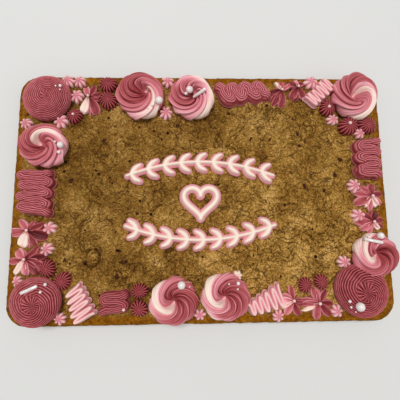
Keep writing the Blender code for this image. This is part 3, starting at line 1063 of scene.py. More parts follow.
@dataclass(frozen=True)
class PipedField:
    """Ropes of frosting laid on a surface, as one closed shell.

    Every place of a fine grid looks for the rope whose rim it is deepest
    inside. With its distance from that rope's middle as a share of the half
    width, the height is a step, plus an arch: the root of one minus that share
    to a power. Ridges that run along the rope dip the arch by one minus
    the absolute cosine of the distance in pitches. Where ropes are layered,
    the ridges are those of the last rope that covers the place, and the top
    dips at that rope's edge by the lip. The tint has painted light on the
    ridges and painted shade in their grooves and at the lip, and painted shade
    darkens the seam a little way inside the rim. Grid points just outside are
    pulled onto the rim, and walls with ridges of their own go down from it,
    with painted light on their ridges and painted shade between them.
    """

    ropes: tuple[Rope, ...]
    base: float
    height: float
    tint: float
    step: float
    cell: float
    # How strongly the ridges are painted with light and their grooves with shade.
    light: float = 0.26
    bulge: float = 0.7
    pitch: float = 0.0
    depth: float = 0.0
    layered: bool = False
    square: float = 2.2
    # How much painted shade darkens the seam between strokes.
    seam: float = 0.0
    wall_rings: int = 11
    seed: int = 1

    LIP = 1.6
    # How many ridges the walls have from top to bottom.
    WALL_RIDGES = 3.5
    # How many places are compared with the ropes at once.
    BATCH = 4096

    def _nearest(self, places: Array, ropes: tuple[Rope, ...]) -> tuple[Array, Array, Array, Array, Array]:
        """For each place, the rope point it is deepest inside.

        Args:
            places: x and y of each place.
            ropes: the ropes to look at.

        Returns:
            The rope's x and y there, its half width, the side-on distance with
            its sign, the distance, and whether the place lies beside the rope
            instead of beyond its end.
        """
        middles = np.vstack([rope.points for rope in ropes])
        widths = np.concatenate([rope.half_width for rope in ropes])
        tangents = np.vstack([np.gradient(rope.points, axis=0) for rope in ropes])
        spacing = np.linalg.norm(tangents, axis=1)
        tangents = tangents / spacing[:, None]
        best = np.empty(len(places), int)
        for start in range(0, len(places), self.BATCH):
            part = places[start : start + self.BATCH]
            away = np.hypot(part[:, :1] - middles[:, 0], part[:, 1:] - middles[:, 1])
            best[start : start + self.BATCH] = (away - widths).argmin(axis=1)
        delta = places - middles[best]
        tangent = tangents[best]
        side = tangent[:, 0] * delta[:, 1] - tangent[:, 1] * delta[:, 0]
        along = tangent[:, 0] * delta[:, 0] + tangent[:, 1] * delta[:, 1]
        beside = np.abs(along) <= spacing[best] * 0.75
        away = np.where(beside, np.abs(side), np.hypot(*delta.T))
        return middles[best], widths[best], side, away, beside

    def _topmost(self, places: Array, side: Array, share: Array) -> tuple[Array, Array]:
        """Finds the last rope that covers each place.

        Args:
            places: x and y of each place.
            side: the side-on distance where no rope covers the place.
            share: the distance's share of the half width there.

        Returns:
            The side-on distance from that rope, and its share of the half width.
        """
        for rope in self.ropes:
            _, half_width, aside, away, beside = self._nearest(places, (rope,))
            covers = beside & (away <= half_width)
            side = np.where(covers, aside, side)
            share = np.where(covers, away / half_width, share)
        return side, share

    def build(self) -> Shell:
        """Lays a grid over the ropes and keeps its faces that touch them.

        Returns:
            The closed shell.
        """
        reach = max(rope.half_width.max() for rope in self.ropes) + 2 * self.cell
        every = np.vstack([rope.points for rope in self.ropes])
        low, high = every.min(axis=0) - reach, every.max(axis=0) + reach
        steps = (np.arange(low[k], high[k], self.cell) for k in range(2))
        grid = np.stack(np.meshgrid(*steps, indexing="ij"), -1)
        places = grid.reshape(-1, 2)
        middle, half_width, side, away, _ = self._nearest(places, self.ropes)
        share = np.clip(away / half_width, 0, 1)
        edge = 0 * share
        if self.layered:
            side, edge = self._topmost(places, side, share)
            side = side + 0.75 * layered_noise(*places.T, 7.0, 2, self.seed + 3)
        outward = (places - middle) / np.maximum(np.hypot(*(places - middle).T), 1e-6)[:, None]
        outside = away > half_width
        places = np.where(outside[:, None], middle + outward * half_width[:, None], places)
        height, tints = self._relief(places, side, share, edge)
        quads = grid_quads(np.arange(len(places)).reshape(grid.shape[:2]))
        keep = (~outside)[quads].any(axis=-1)
        return self._closed(np.column_stack([places, self.base + height]), tints, quads[keep], outward)

    def _relief(self, places: Array, side: Array, share: Array, edge: Array) -> tuple[Array, Array]:
        """The top's relief.

        Args:
            places: x and y of each place.
            side: its side-on distance from the rope whose ridges show there.
            share: its distance from the rope that it is deepest inside, as a
                share of the half width.
            edge: the same for the rope whose ridges show.

        Returns:
            The height above the base and the tint of each place.
        """
        arch = (1 - share**self.square) ** 0.5
        ridge = np.abs(np.cos(np.pi * side / self.pitch)) ** 0.9 if self.pitch else np.ones(len(side))
        lip = smooth_step(0.78, 1.0, edge)
        uneven = 1 + 0.05 * layered_noise(*places.T, 11.0, 2, self.seed)
        height = self.height * (self.step + (1 - self.step) * arch) * uneven
        height -= (self.depth * (1 - ridge) + self.LIP * lip) * np.clip(arch * 1.6, 0, 1)
        # Painted light on the ridges, painted shade in their grooves and at the lip.
        ridge_light_and_shade = ridge * (0.6 + 0.4 * arch) * (1 - 0.5 * lip) - 0.6 + 0.35 * (1 - arch)
        # Painted shade at the seam between strokes.
        seam = smooth_step(0.45, 0.8, share) * smooth_step(0.98, 0.88, share)
        return height, self.tint + self.light * ridge_light_and_shade - self.seam * seam

    def _closed(self, points: Array, tints: Array, quads: Array, outward: Array) -> Shell:
        """Adds the walls and the underside.

        Args:
            points: the top's points.
            tints: their tints.
            quads: the top's faces, counter-clockwise from above.
            outward: the way out of the rope at each point, in x and y.

        Returns:
            The closed shell.
        """
        used, local = np.unique(quads, return_inverse=True)
        quads = local.reshape(-1, 4)
        points, tints, outward = points[used], tints[used], outward[used]
        count = len(points)
        starts, ends = quads.ravel(), np.roll(quads, -1, axis=1).ravel()
        lone = ~np.isin(starts * count + ends, ends * count + starts)
        starts, ends = starts[lone], ends[lone]
        rim = np.unique(starts)
        number = np.zeros(count, int)
        number[rim] = np.arange(len(rim))
        drop = points[rim, 2] - self.base
        # Each level's points and tints, and the number there of every point of the top.
        levels = [(points, tints, np.arange(count))]
        start = count
        for ring in range(1, self.wall_rings + 1):
            down = ring / (self.wall_rings + 1)
            ridge = abs(math.cos(math.pi * self.WALL_RIDGES * down)) ** 0.8 if self.pitch else 1.0
            out = self.bulge * math.sin(math.pi * min(1.0, 0.15 + down)) - self.depth * 0.7 * (1 - ridge)
            wall = np.column_stack([points[rim, :2] + outward[rim] * out, self.base + drop * (1 - down)])
            # The walls' tint: painted light on their ridges and painted shade between them.
            tint = self.tint + self.light * (0.8 * ridge - 0.3)
            levels.append((wall, np.full(len(rim), tint), start + number))
            start += len(rim)
        under = np.column_stack([points[:, :2], np.full(count, self.base - SUNK)])
        levels.append((under, tints, start + np.arange(count)))
        all_points, all_tints, numbers = zip(*levels)
        walls = [
            np.stack([upper[ends], upper[starts], lower[starts], lower[ends]], -1)
            for upper, lower in zip(numbers, numbers[1:])
        ]
        faces = np.vstack([quads] + walls + [quads[:, ::-1] + start])
        return Shell(np.vstack(all_points), Tint.clipped(np.concatenate(all_tints)), faces)


@dataclass(frozen=True)
class Zigzag:
    """A rope laid to and fro across a band, each stroke lying on the one before.

    A phase counts the strokes. Across the band the rope's middle follows the
    cosine of half a turn a stroke. Along it, the middle moves by one spacing a
    stroke, plus a share of the sine of a whole turn, which rounds the turns
    and sets the strokes straight across. Slow noise makes both uneven.
    """

    node: str
    x: float
    y: float
    heading: float
    length: float
    width: float
    height: float
    strokes: int
    far_width: float = 1.0
    slant: float = 0.0
    tone: float = 0.0
    tint: Tint = Tint.ROSE
    step: float = 0.2
    pitch: float = 2.3
    depth: float = 1.6
    overlap: float = 1.85
    # The strength of the painted light and shade on the ridges, and of the painted shade at the seam.
    light: float = 0.78
    square: float = 2.2
    seam: float = 0.0
    layered: bool = True
    seed: int = 1

    ROUNDING = 0.13
    # The share of the first and of the last stroke that is left away.
    END = 0.1
    PLACES_A_STROKE = 70
    CELL = 0.42

    def ropes(self) -> tuple[Rope, ...]:
        """Lays out the strokes, as said above.

        Returns:
            The strokes, one after the other, in the cake's coordinates.
        """
        cut = self.END + self.ROUNDING * math.sin(2 * math.pi * self.END)
        spacing = self.length / (self.strokes - 2 * cut + self.overlap)
        half_rope = spacing / 2 * self.overlap
        strokes = []
        for stroke in range(self.strokes):
            first = self.END if stroke == 0 else 0.0
            last = 1 - self.END if stroke == self.strokes - 1 else 1.0
            phase = stroke + np.linspace(first, last, self.PLACES_A_STROKE)
            drift = lattice_noise(phase * 0.8, 0 * phase, self.seed)
            swell = lattice_noise(phase * 0.9, 0 * phase + 5, self.seed)
            half = self.width * (1 + (self.far_width - 1) * phase / self.strokes) / 2 - half_rope
            half = half * (0.95 + 0.1 * swell)
            across = half * np.cos(np.pi * phase)
            rounding = self.ROUNDING * np.sin(2 * np.pi * phase)
            along = spacing * (phase - self.strokes / 2 + rounding + 0.2 * drift)
            along = along + self.slant * across / half.max()
            middle = np.column_stack(turned(along, across, self.heading)) + (self.x, self.y)
            strokes.append(Rope(middle, half_rope * (1 + 0.04 * drift)))
        return tuple(strokes)

    def build(self) -> Shell:
        """Pipes the strokes as one field.

        Returns:
            The zigzag's shell.
        """
        made = PipedField(
            ropes=self.ropes(),
            base=FOOT,
            height=self.height * 0.97,
            tint=self.tint.value + self.tone,
            step=self.step,
            cell=self.CELL,
            light=self.light,
            pitch=self.pitch,
            depth=self.depth,
            layered=self.layered,
            square=self.square,
            seam=self.seam,
            seed=self.seed,
        )
        return made.build()


@dataclass(frozen=True)
class Ruffle(Zigzag):
    """A light-pink zigzag of close folds that run into each other."""

    tint: Tint = Tint.BLUSH
    step: float = 0.3
    pitch: float = 4.6
    depth: float = 0.8
    overlap: float = 1.18
    light: float = 0.14
    square: float = 2.6
    seam: float = 0.2
    layered: bool = False


@dataclass(frozen=True)
class TwoToneLine:
    """A line of cream piped on a wider line of pink.

    Both are ropes on the same path. The pink one lies on the crust, and the
    cream one on top of it.
    """

    ropes: tuple[Rope, ...]
    pink_margin: float
    seed: int

    PINK_HEIGHT = 4.2
    CREAM_HEIGHT = 4.0

    def build(self) -> Shell:
        """Pipes the cream line on the pink one.

        Returns:
            The shell of both.
        """
        wide = tuple(Rope(rope.points, rope.half_width + self.pink_margin) for rope in self.ropes)
        both = {"cell": 0.6, "wall_rings": 7, "seed": self.seed}
        pink = PipedField(wide, FOOT, self.PINK_HEIGHT, Tint.PINK.value + 0.04, 0.35, bulge=0.5, **both)
        base = FOOT + self.PINK_HEIGHT * 0.9
        cream = PipedField(
            self.ropes, base, self.CREAM_HEIGHT, Tint.CREAM.value, 0.3, light=0.05, bulge=0.3, **both
        )
        return Shell.joined([pink.build(), cream.build()])


@dataclass(frozen=True)
class LeafySpray:
    """A bowed stem with pairs of leaves that sweep towards its far end."""

    node: str
    x: float
    y: float
    facing: float
    seed: int
    span: float = 184.0
    bow: float = 17.0
    leaves: int = 9
    leaf_reach: float = 13.0
    leaf_sweep: float = 7.0
    line: float = 2.1

    def _rope(self, points: Array, half_width: Any) -> Rope:
        """A rope from places about the spray's own middle, put where the spray is."""
        middle = np.column_stack(turned(*points.T, self.facing)) + (self.x, self.y)
        return Rope(middle, np.broadcast_to(half_width, len(points)))

    def _stem_at(self, share: float) -> Array:
        """The stem's middle at a share of its length."""
        along = (share - 0.5) * (self.span - self.leaf_sweep)
        return np.array([along, self.bow * (1 - (2 * share - 1) ** 2)])

    def build(self) -> Shell:
        """Lays out the stem and two leaves a pair, each along a curve through three places.

        Returns:
            The spray's shell.
        """
        stem = np.array([self._stem_at(share) for share in np.linspace(0.0, 1.0, 240)])
        ropes = [self._rope(stem, self.line * 0.8)]
        swell = np.sin(np.pi * np.linspace(0.16, 0.9, 36)) ** 0.8
        for pair in range(self.leaves):
            share = (2 * pair + 1) / (2 * self.leaves)
            root = self._stem_at(share - 0.025)
            for side in (-1, 1):
                tip = self._stem_at(share) + (self.leaf_sweep - 1.0, side * (self.leaf_reach - 3.0))
                bulge = (root + tip) / 2 + (-0.8, side * 1.6)
                leaf = smooth_curve([root, bulge, tip], len(swell))
                ropes.append(self._rope(leaf, self.line * (0.35 + 0.95 * swell)))
        return TwoToneLine(tuple(ropes), pink_margin=1.9, seed=self.seed).build()


@dataclass(frozen=True)
class HeartLine:
    """A heart piped as one closed line.

    Its x is the sine of the angle cubed, and its y a sum of four cosines.
    """

    node: str = "heart"
    x: float = -3.0
    y: float = -8.0
    size: float = 40.0
    line: float = 2.7

    def build(self) -> Shell:
        """Lays the line along the heart's curve.

        Returns:
            The heart's shell.
        """
        angle = np.linspace(0, 2 * np.pi, 200)
        x = 16 * np.sin(angle) ** 3
        y = 13 * np.cos(angle) - 5 * np.cos(2 * angle) - 2 * np.cos(3 * angle) - np.cos(4 * angle)
        points = np.column_stack([x, y]) * self.size / 32 + (self.x, self.y)
        rope = Rope(points, np.full(len(points), self.line))
        return TwoToneLine((rope,), pink_margin=2.3, seed=5).build()


@dataclass(frozen=True)
class Crack:
    """A crack in the crust, through a few places, with its width and depth.

    Noise bends the line. The crack's depth falls off as a bell with the
    distance from it, and a low swelling runs along both of its sides.
    """

    places: tuple[Place, ...]
    width: float
    depth: float

    # How far noise bends the line, and how high the swelling beside it is.
    BEND = 1.4
    SWELLING = 0.5
    # Farther than this from the line's middle, places are left alone.
    FAR = 60.0

    def relief(self, x: Array, y: Array) -> Array:
        """The crack's relief.

        Args:
            x, y: the places.

        Returns:
            The height in millimetres, negative in the crack.
        """
        line = smooth_curve(self.places, 120)
        line = line + self.BEND * np.column_stack([layered_noise(*line.T, 7.0, 2, seed) for seed in (3, 4)])
        near = (np.abs(x - line[:, 0].mean()) < self.FAR) & (np.abs(y - line[:, 1].mean()) < self.FAR)
        away = np.full(x.shape, 99.0)
        away[near] = np.hypot(x[near][:, None] - line[:, 0], y[near][:, None] - line[:, 1]).min(axis=1)
        return self.SWELLING * bell((away - 2.4) / 1.6) - self.depth * bell(away / self.width)


@dataclass(frozen=True)
class Mound:
    """A large chip under the crust: an oval bulge with a groove round it."""

    x: float
    y: float
    length: float
    width: float
    turn: float
    height: float
    groove: float

    def relief(self, x: Array, y: Array) -> Array:
        """The mound's relief, worked out from the distance in half axes of the oval.

        Args:
            x, y: the places.

        Returns:
            The height in millimetres, negative in the groove.
        """
        along, across = turned(x - self.x, y - self.y, -self.turn)
        away = np.hypot(along / (self.length / 2), across / (self.width / 2))
        away = away * (1 + 0.06 * lattice_noise(x / 6, y / 6, 41))
        return self.height * smooth_step(1.0, 0.75, away) - self.groove * bell((away - 1.05) / 0.1)


@dataclass(frozen=True)
class Cookie:
    """The slab: a square-celled top that rounds over into its side and underside.

    The top's height is the sum of lumps, creases where layered noise crosses
    zero, crumbs from the absolute value of finer noise, scattered pits, a few
    mounds and a few cracks. The grid's corner squares are pulled onto quarter
    discs, so its border is the slab's outline.
    """

    cracks: tuple[Crack, ...]
    mounds: tuple[Mound, ...]
    columns: int = 350
    rows: int = 232
    edge: float = 6.0
    pits: int = 150
    seed: int = 11

    # How far from the middle pits lie, and the ranges of their radius and depth.
    PIT_REACH = np.array([190.0, 118.0])
    PIT_SIZES = (0.9, 2.4)
    PIT_DEPTHS = (0.5, 1.5)
    # Inset from the outline and height of each ring of the side, from the top down.
    SIDE = (
        ((3.2, 17.45), (1.2, 16.1), (0.3, 14.2), (0.0, 11.5), (-0.1, 8.5))
        + ((0.0, 5.5), (0.2, 3.0), (0.7, 1.2), (1.6, 0.3), (3.0, 0.0))
    )

    def relief(self, x: Array, y: Array) -> Array:
        """The height of the crust above or below its mean level.

        Args:
            x, y: the places.

        Returns:
            The height in millimetres.
        """
        crease = np.abs(layered_noise(x, y, 13.0, 3, self.seed + 5))
        wrinkle = np.abs(layered_noise(x, y, 6.0, 2, self.seed + 9))
        crags = -0.75 * smooth_step(0.12, 0.0, crease) - 0.3 * smooth_step(0.14, 0.0, wrinkle)
        crumbs = 0.8 * np.abs(layered_noise(x, y, 5.2, 2, self.seed + 13)) - 0.25
        grit = 0.3 * layered_noise(x, y, 3.2, 2, self.seed + 17)
        height = layered_noise(x, y, 26.0, 3, self.seed) + crags + crumbs + grit
        rng = np.random.default_rng(self.seed)
        for _ in range(self.pits):
            at = rng.uniform(-self.PIT_REACH, self.PIT_REACH)
            size, depth = rng.uniform(*self.PIT_SIZES), rng.uniform(*self.PIT_DEPTHS)
            height = height - depth * np.exp(-((x - at[0]) ** 2 + (y - at[1]) ** 2) / size**2)
        for mark in self.mounds + self.cracks:
            height = height + mark.relief(x, y)
        return height

    def build(self) -> tuple[Shell, Array]:
        """Works out the top, the rings of the side below its border, and the underside.

        Returns:
            The slab's shell, and how much of the golden rim each point has.
        """
        half = np.array([SLAB_LENGTH, SLAB_WIDTH]) / 2 - self.edge
        radius = CORNER_RADIUS - self.edge
        core = half - radius
        steps = (np.linspace(-half[k], half[k], count) for k, count in enumerate((self.columns, self.rows)))
        grid = np.stack(np.meshgrid(*steps, indexing="ij"), -1)
        into = np.maximum(np.abs(grid) - core, 0)
        length = np.maximum(np.linalg.norm(into, axis=-1, keepdims=True), 1e-9)
        flat = np.minimum(np.abs(grid), core) + into * into.max(axis=-1, keepdims=True) / length
        beyond = np.linalg.norm(np.maximum(flat - core, 0), axis=-1)
        inland = np.where(beyond > 0, radius - beyond, (half - flat).min(axis=-1))
        flat = np.copysign(flat, grid)
        x, y = flat[..., 0], flat[..., 1]
        height = self.relief(x, y)
        shore = smooth_step(0.0, 9.0, inland)
        top = SLAB_TOP + height * (0.35 + 0.65 * shore) - 0.55 * (1 - shore)
        rim = smooth_step(9.0, 0.0, inland + 2.2 * layered_noise(x, y, 9.0, 3, self.seed + 30))
        # The side: rings that start from the top's border.
        points = [np.column_stack([x.ravel(), y.ravel(), top.ravel()])]
        index = np.arange(x.size).reshape(x.shape)
        quads = [grid_quads(index).reshape(-1, 4)]
        upper = np.concatenate([index[:-1, 0], index[-1, :-1], index[:0:-1, -1], index[0, :0:-1]])
        border = points[0][upper, :2]
        outward = (border - np.clip(border, -core, core)) / radius
        count = x.size
        for level, (inset, level_height) in enumerate(self.SIDE):
            ragged = layered_noise(*(border + (3 * level, 5 * level)).T, 6.0, 3, self.seed + 20)
            out = self.edge - inset + 0.45 * ragged * (0.1 < level_height) - 0.25
            ring = border + outward * out[:, None]
            points.append(np.column_stack([ring, np.full(len(ring), level_height)]))
            lower = count + np.arange(len(border))
            quads.append(np.stack([np.roll(upper, -1), upper, lower, np.roll(lower, -1)], -1))
            count += len(border)
            upper = lower
        points.append(np.zeros((1, 3)))
        triangles = np.stack([np.roll(upper, -1), upper, np.full(len(upper), count)], -1)
        beside = np.ones(count + 1 - x.size)
        # The crust's tint follows its height: painted shade in hollows, painted light on crags.
        tints = np.concatenate([np.clip(0.52 + 0.2 * height, 0.0, 1.0).ravel(), 0.5 * beside])
        shell = Shell(np.vstack(points), tints, np.vstack(quads), triangles)
        return shell, np.concatenate([rim.ravel(), beside])


def ball(rings: int, columns: int) -> tuple[Array, Array]:
    """The rise of each ring between a ball's poles and the angle of each column, in radians."""
    return np.linspace(-np.pi / 2, np.pi / 2, rings + 2)[1:-1, None], whole_turn(columns)


@dataclass(frozen=True)
class Bits:
    """Chocolate bits in the crust, each a lumpy flattened ball that is mostly sunk."""

    places: tuple[tuple[float, float, float, float, float], ...]
    seed: int = 3

    def build(self) -> Shell:
        """Works out each bit's ball, made lumpy by noise.

        Returns:
            The shell of them all.
        """
        shells = []
        rise, around = ball(13, 24)
        for x, y, length, width, heading in self.places:
            noise = layered_noise(2 * np.cos(around) + x, 2 * np.sin(around) + 2 * rise, 1.0, 2, self.seed)
            lump = 1 + 0.16 * noise
            along = length / 2 * np.cos(rise) * np.cos(around) * lump
            across = width / 2 * np.cos(rise) * np.sin(around) * lump
            aside, ahead = turned(along, across, heading)
            grid = np.stack([x + aside, y + ahead, SLAB_TOP - 0.5 + 1.1 * np.sin(rise) * lump], -1)
            shells.append(Shell.plain(grid, grid[-1].mean(axis=0), grid[0].mean(axis=0)))
        return Shell.joined(shells)


@dataclass(frozen=True)
class Pearl:
    """A sugar pearl, a ball that is sunk a little: its place and its radius."""

    x: float
    y: float
    radius: float

    def build(self, host: Shell) -> Shell:
        """Works out the ball.

        Args:
            host: the shell that it lies on.

        Returns:
            The pearl's shell.
        """
        fine = 14 if self.radius > 3 else 9
        rise, around = ball(fine - 1, 2 * fine)
        centre = np.array([self.x, self.y, host.height_at(self.x, self.y) + self.radius * 0.45])
        level = np.sin(rise) + 0 * around
        grid = np.stack([np.cos(rise) * np.cos(around), np.cos(rise) * np.sin(around), level], -1)
        up = np.array([0, 0, self.radius])
        return Shell.plain(centre + grid * self.radius, centre + up, centre - up)


@dataclass(frozen=True)
class Rod:
    """A sugar rod: the piece it lies on and the places of its two ends.

    It is a cylinder with rounded ends. It leans as the straight line that best
    fits the surface below it does, and lies so high that it only just sinks in.
    """

    host: str
    start: Place
    end: Place
    radius: float = 2.1

    # How much of the radius it lies above the surface's highest place below it.
    LIFT = 0.3

    def build(self, host: Shell) -> Shell:
        """Works out the rings along the rod's axis.

        Args:
            host: the shell that it lies on.

        Returns:
            The rod's shell.
        """
        share = np.linspace(0.1, 0.9, 7)[:, None]
        places = np.array(self.start) * (1 - share) + np.array(self.end) * share
        below = np.array([host.height_at(x, y) for x, y in places])
        slope, level = np.polyfit(share[:, 0], below, 1)
        lift = level + (below - slope * share[:, 0] - level).max() + self.radius * self.LIFT
        foot, apex = np.array([*self.start, lift]), np.array([*self.end, lift + slope])
        length = np.linalg.norm(apex - foot)
        axis = (apex - foot) / length
        side = np.cross((0, 0, 1), axis)
        side = side / np.linalg.norm(side)
        cap = np.linspace(0, np.pi / 2, 5)[1:]
        inset = self.radius * (1 - np.sin(cap))
        along = np.concatenate([inset[::-1], length - inset])
        reach = self.radius * np.maximum(np.concatenate([np.cos(cap[::-1]), np.cos(cap)]), 0.2)
        turn = whole_turn(14)[:, None]
        ring = np.cos(turn) * side + np.sin(turn) * np.cross(axis, side)
        grid = foot + along[:, None, None] * axis + reach[:, None, None] * ring
        return Shell.plain(grid, apex, foot)


# A spot's name, place, radius, height and turn. The letters are the tints of
# the ridges, first where they meet the rim and then farther in.
SWIRL_ROSETTES = (
    SwirlRosette(
        Spot("rosette_left", -190, 58, 28.5, 20, -30),
        "BMMRPPBB", "CRRRMMPP", twist=150, coil=1.5, pit=(-2, 1), broad=0, seed=2,
    ),
    SwirlRosette(
        Spot("rosette_back_a", -76, 121, 30, 21),
        "MRRPPBCP", "RRRMPCPM", twist=160, coil=1.6, pit=(5, 5), seed=3,
    ),
    SwirlRosette(
        Spot("rosette_back_b", -13, 120, 29, 20),
        "CBMPBBCC", "MRRPPBPP", twist=150, coil=1.6, pit=(2, 5), inner_from=0.38, broad=0, seed=4,
    ),
    SwirlRosette(
        Spot("rosette_corner_back_right", 192, 122.5, 30, 22, -30),
        "PMMPPBCP", "RRMMPPCB", twist=150, coil=1.6, pit=(-2, -2), seed=5,
    ),
    SwirlRosette(
        Spot("rosette_right", 202, -75, 27.5, 20, -20),
        "MPCCPMR", "PMCPRRR", twist=135, coil=1.5, pit=(4, 2), seed=6,
    ),
    SwirlRosette(
        Spot("rosette_front_a", -34, -123, 28.5, 20, 12),
        "MPCBMPMR", "RPCMRRRR", twist=125, coil=1.3, broad=2, seed=7,
    ),
    SwirlRosette(
        Spot("rosette_front_b", 24.5, -119, 29, 20, 8),
        "MPCBCPMM", "RPCPRRRR", twist=125, coil=1.3, broad=2, seed=8,
    ),
)
FINE_ROSETTES = (
    FineRosette(
        Spot("rosette_corner_back_left", -190, 119, 28.5, 18),
        arms=5, fan=9, fan_reach=5.5, middle=(3, -1), pitch=2.3, seed=1,
    ),
    FineRosette(
        Spot("rosette_corner_front_left", -190, -121.5, 28, 19),
        arms=8, fan=16, fan_reach=10.5, middle=(2, -3), pitch=2.7, tone=-0.05, seed=2,
    ),
    FineRosette(
        Spot("rosette_corner_front_right", 183, -115, 30.5, 18),
        arms=9, fan=16, fan_reach=12.0, middle=(3, -2), pitch=2.7, depth=2.0, tone=-0.08, seed=3,
    ),
)
# Each flower's name, place and height, with the heading, length, width, tint
# and bluntness of its petals.
FLOWER_TABLE = (
    ("back_a", -140, 122, 9, (
        (14, 16, 7, "R", 0.3), (60, 18, 7, "R", 0.3), (347, 13, 6, "R", 0.5), (110, 15, 9, "P", 0.6),
        (302, 23, 13, "R", 0.9), (248, 22, 10.5, "C", 0.8), (269, 24, 3.4, "P", 0.3),
    )),
    ("back_b", 101, 131.5, 9, (
        (187, 14, 8, "D", 0.5), (244, 22, 9, "R", 0.4), (220, 19, 6, "R", 0.3), (275, 21, 10, "R", 0.9),
        (55, 14, 8, "M", 0.5), (95, 14, 7, "M", 0.4), (36, 17, 6, "P", 0.4), (120, 15, 4, "C", 0.4),
    )),
    ("back_c", 122, 136, 9, (
        (262, 18, 8, "D", 0.5), (236, 16.5, 11, "R", 0.7), (303, 16, 10, "R", 0.7), (146, 13, 8, "R", 0.5),
        (54, 12, 8, "R", 0.5), (100, 12, 3.6, "B", 0.3),
    )),
    ("right_a", 205.5, -3, 9, (
        (134, 17, 7, "M", 0.4), (85, 15, 10, "R", 0.6), (9, 17, 9, "R", 0.1), (213, 22, 11, "M", 0.7),
        (170, 21, 9, "M", 0.0), (319, 18, 7, "P", 0.5), (262, 20, 7, "P", 0.2), (301, 16, 8, "C", 0.9),
        (239, 16, 5, "C", 0.3),
    )),
    ("right_b", 205.5, -35, 8, (
        (133, 16, 8, "R", 0.5), (72, 14.5, 10, "D", 0.6), (10, 15, 8.5, "R", 0.4), (184, 22, 11, "M", 0.6),
        (245, 15, 8, "P", 0.5), (218, 17.5, 9, "P", 0.6), (326, 16, 6, "R", 0.3), (304, 13, 6, "C", 0.6),
    )),
    ("front_a", 133.5, -129, 9, (
        (358, 19, 7, "R", 0.3), (315, 21, 10, "R", 0.5), (54, 19, 6.5, "R", 0.3), (110, 19, 9, "M", 0.4),
        (92, 16, 5, "P", 0.3), (179, 21, 7, "M", 0.2), (163, 22, 6, "M", 0.2), (255, 20, 9.5, "M", 0.4),
        (210, 22, 4.6, "C", 0.2),
    )),
    ("front_b", 103.5, -126, 9, (
        (337, 17, 7, "R", 0.4), (0, 12, 6, "R", 0.4), (288, 19, 9.5, "R", 0.6), (148, 14, 8, "P", 0.5),
        (95, 17, 7, "M", 0.7), (178, 14, 8, "B", 0.5), (242, 19, 8.5, "P", 0.5), (211, 17, 4.2, "C", 0.3),
    )),
    ("left_a", -205.5, -75, 9, (
        (107, 11, 5, "M", 0.4), (43, 20, 7, "R", 0.4), (9, 23, 9.5, "D", 0.5), (313, 23, 10, "R", 0.7),
        (336, 24, 11, "R", 0.5), (138, 16, 10, "P", 0.6), (192, 21, 8.5, "M", 0.5), (279, 20, 7, "P", 0.4),
        (262, 19, 5.5, "B", 0.4), (233, 22, 7, "C", 0.4),
    )),
    ("left_b", -204.5, -42, 9, (
        (64, 13, 5.5, "M", 0.3), (22, 19, 8, "R", 0.3), (290, 20, 9, "R", 0.7), (335, 24, 14, "D", 0.8),
        (132, 18, 8.5, "P", 0.1), (193, 21, 11.5, "M", 0.8), (269, 21, 4, "P", 0.3),
        (246, 21, 12, "C", 0.85),
    )),
)
FLOWERS = tuple(
    PetalFlower("flower_" + name, x, y, height, tuple(Petal(*row) for row in rows), seed)
    for seed, (name, x, y, height, rows) in enumerate(FLOWER_TABLE, 1)
)
# Place, radius, height and turn of each drop star, numbered in this order.
DROP_TABLE = (
    (-173, 90, 9, 8, 0), (-215, 88, 7.5, 7, 10), (-43, 143, 8, 7, 20), (-45, 102, 8.7, 8, 5),
    (139.5, 143.5, 9, 8, 0), (165, 94, 7.5, 7, 15), (198, 76, 7, 7, 0), (186, 9.5, 8.5, 8, 10),
    (188, -27, 8.5, 8, 0), (167.5, -82.5, 8, 7, 20), (155, -138.5, 7.5, 7, 0), (86, -143, 7, 7, 10),
    (-5, -140, 7, 7, 0), (-164, -142, 7.3, 7, 15), (-214, -100, 6.2, 6, 0), (-182, -64, 8, 8, 5),
    (-180, -39.5, 8, 8, 20),
)
DROP_SPOTS = [Spot(f"drop_{number:02d}", *row) for number, row in enumerate(DROP_TABLE, 1)]
DROP_SPOTS.append(Spot("drop_twin", -167, 143, 8, 8, 0))
# Place, radius and height of each ridged star, numbered in this order.
BUTTON_TABLE = (
    (-157, 97.5, 9.5, 9), (-117, 138, 11, 10), (-116, 117.5, 11.5, 10), (159, 109.5, 10.5, 9),
    (184, 85.5, 12.5, 10), (208, 86.5, 11.5, 9), (138, -105, 9, 8), (119, -108, 9, 8),
    (-74, -112.5, 9.5, 9), (-74, -132, 10, 9), (-180, -86, 10, 9), (-162, -100, 10.5, 9),
)
BUTTON_SPOTS = [Spot(f"button_{number:02d}", *row) for number, row in enumerate(BUTTON_TABLE, 1)]
# Small stars that belong to another piece.
JOINED_STARS = (
    StarDab.drop(Spot("drop_twin", -153, 142.5, 8, 8, 25), 7, 31),
    StarDab.drop(Spot("flower_back_a", -155, 123, 8.6, 8.5, 10), 7, 33),
    StarDab(Spot("rosette_front_b", 39.7, -96.8, 5.8, 6, 0), 6, 0.3, Tint.CREAM, seed=32),
)
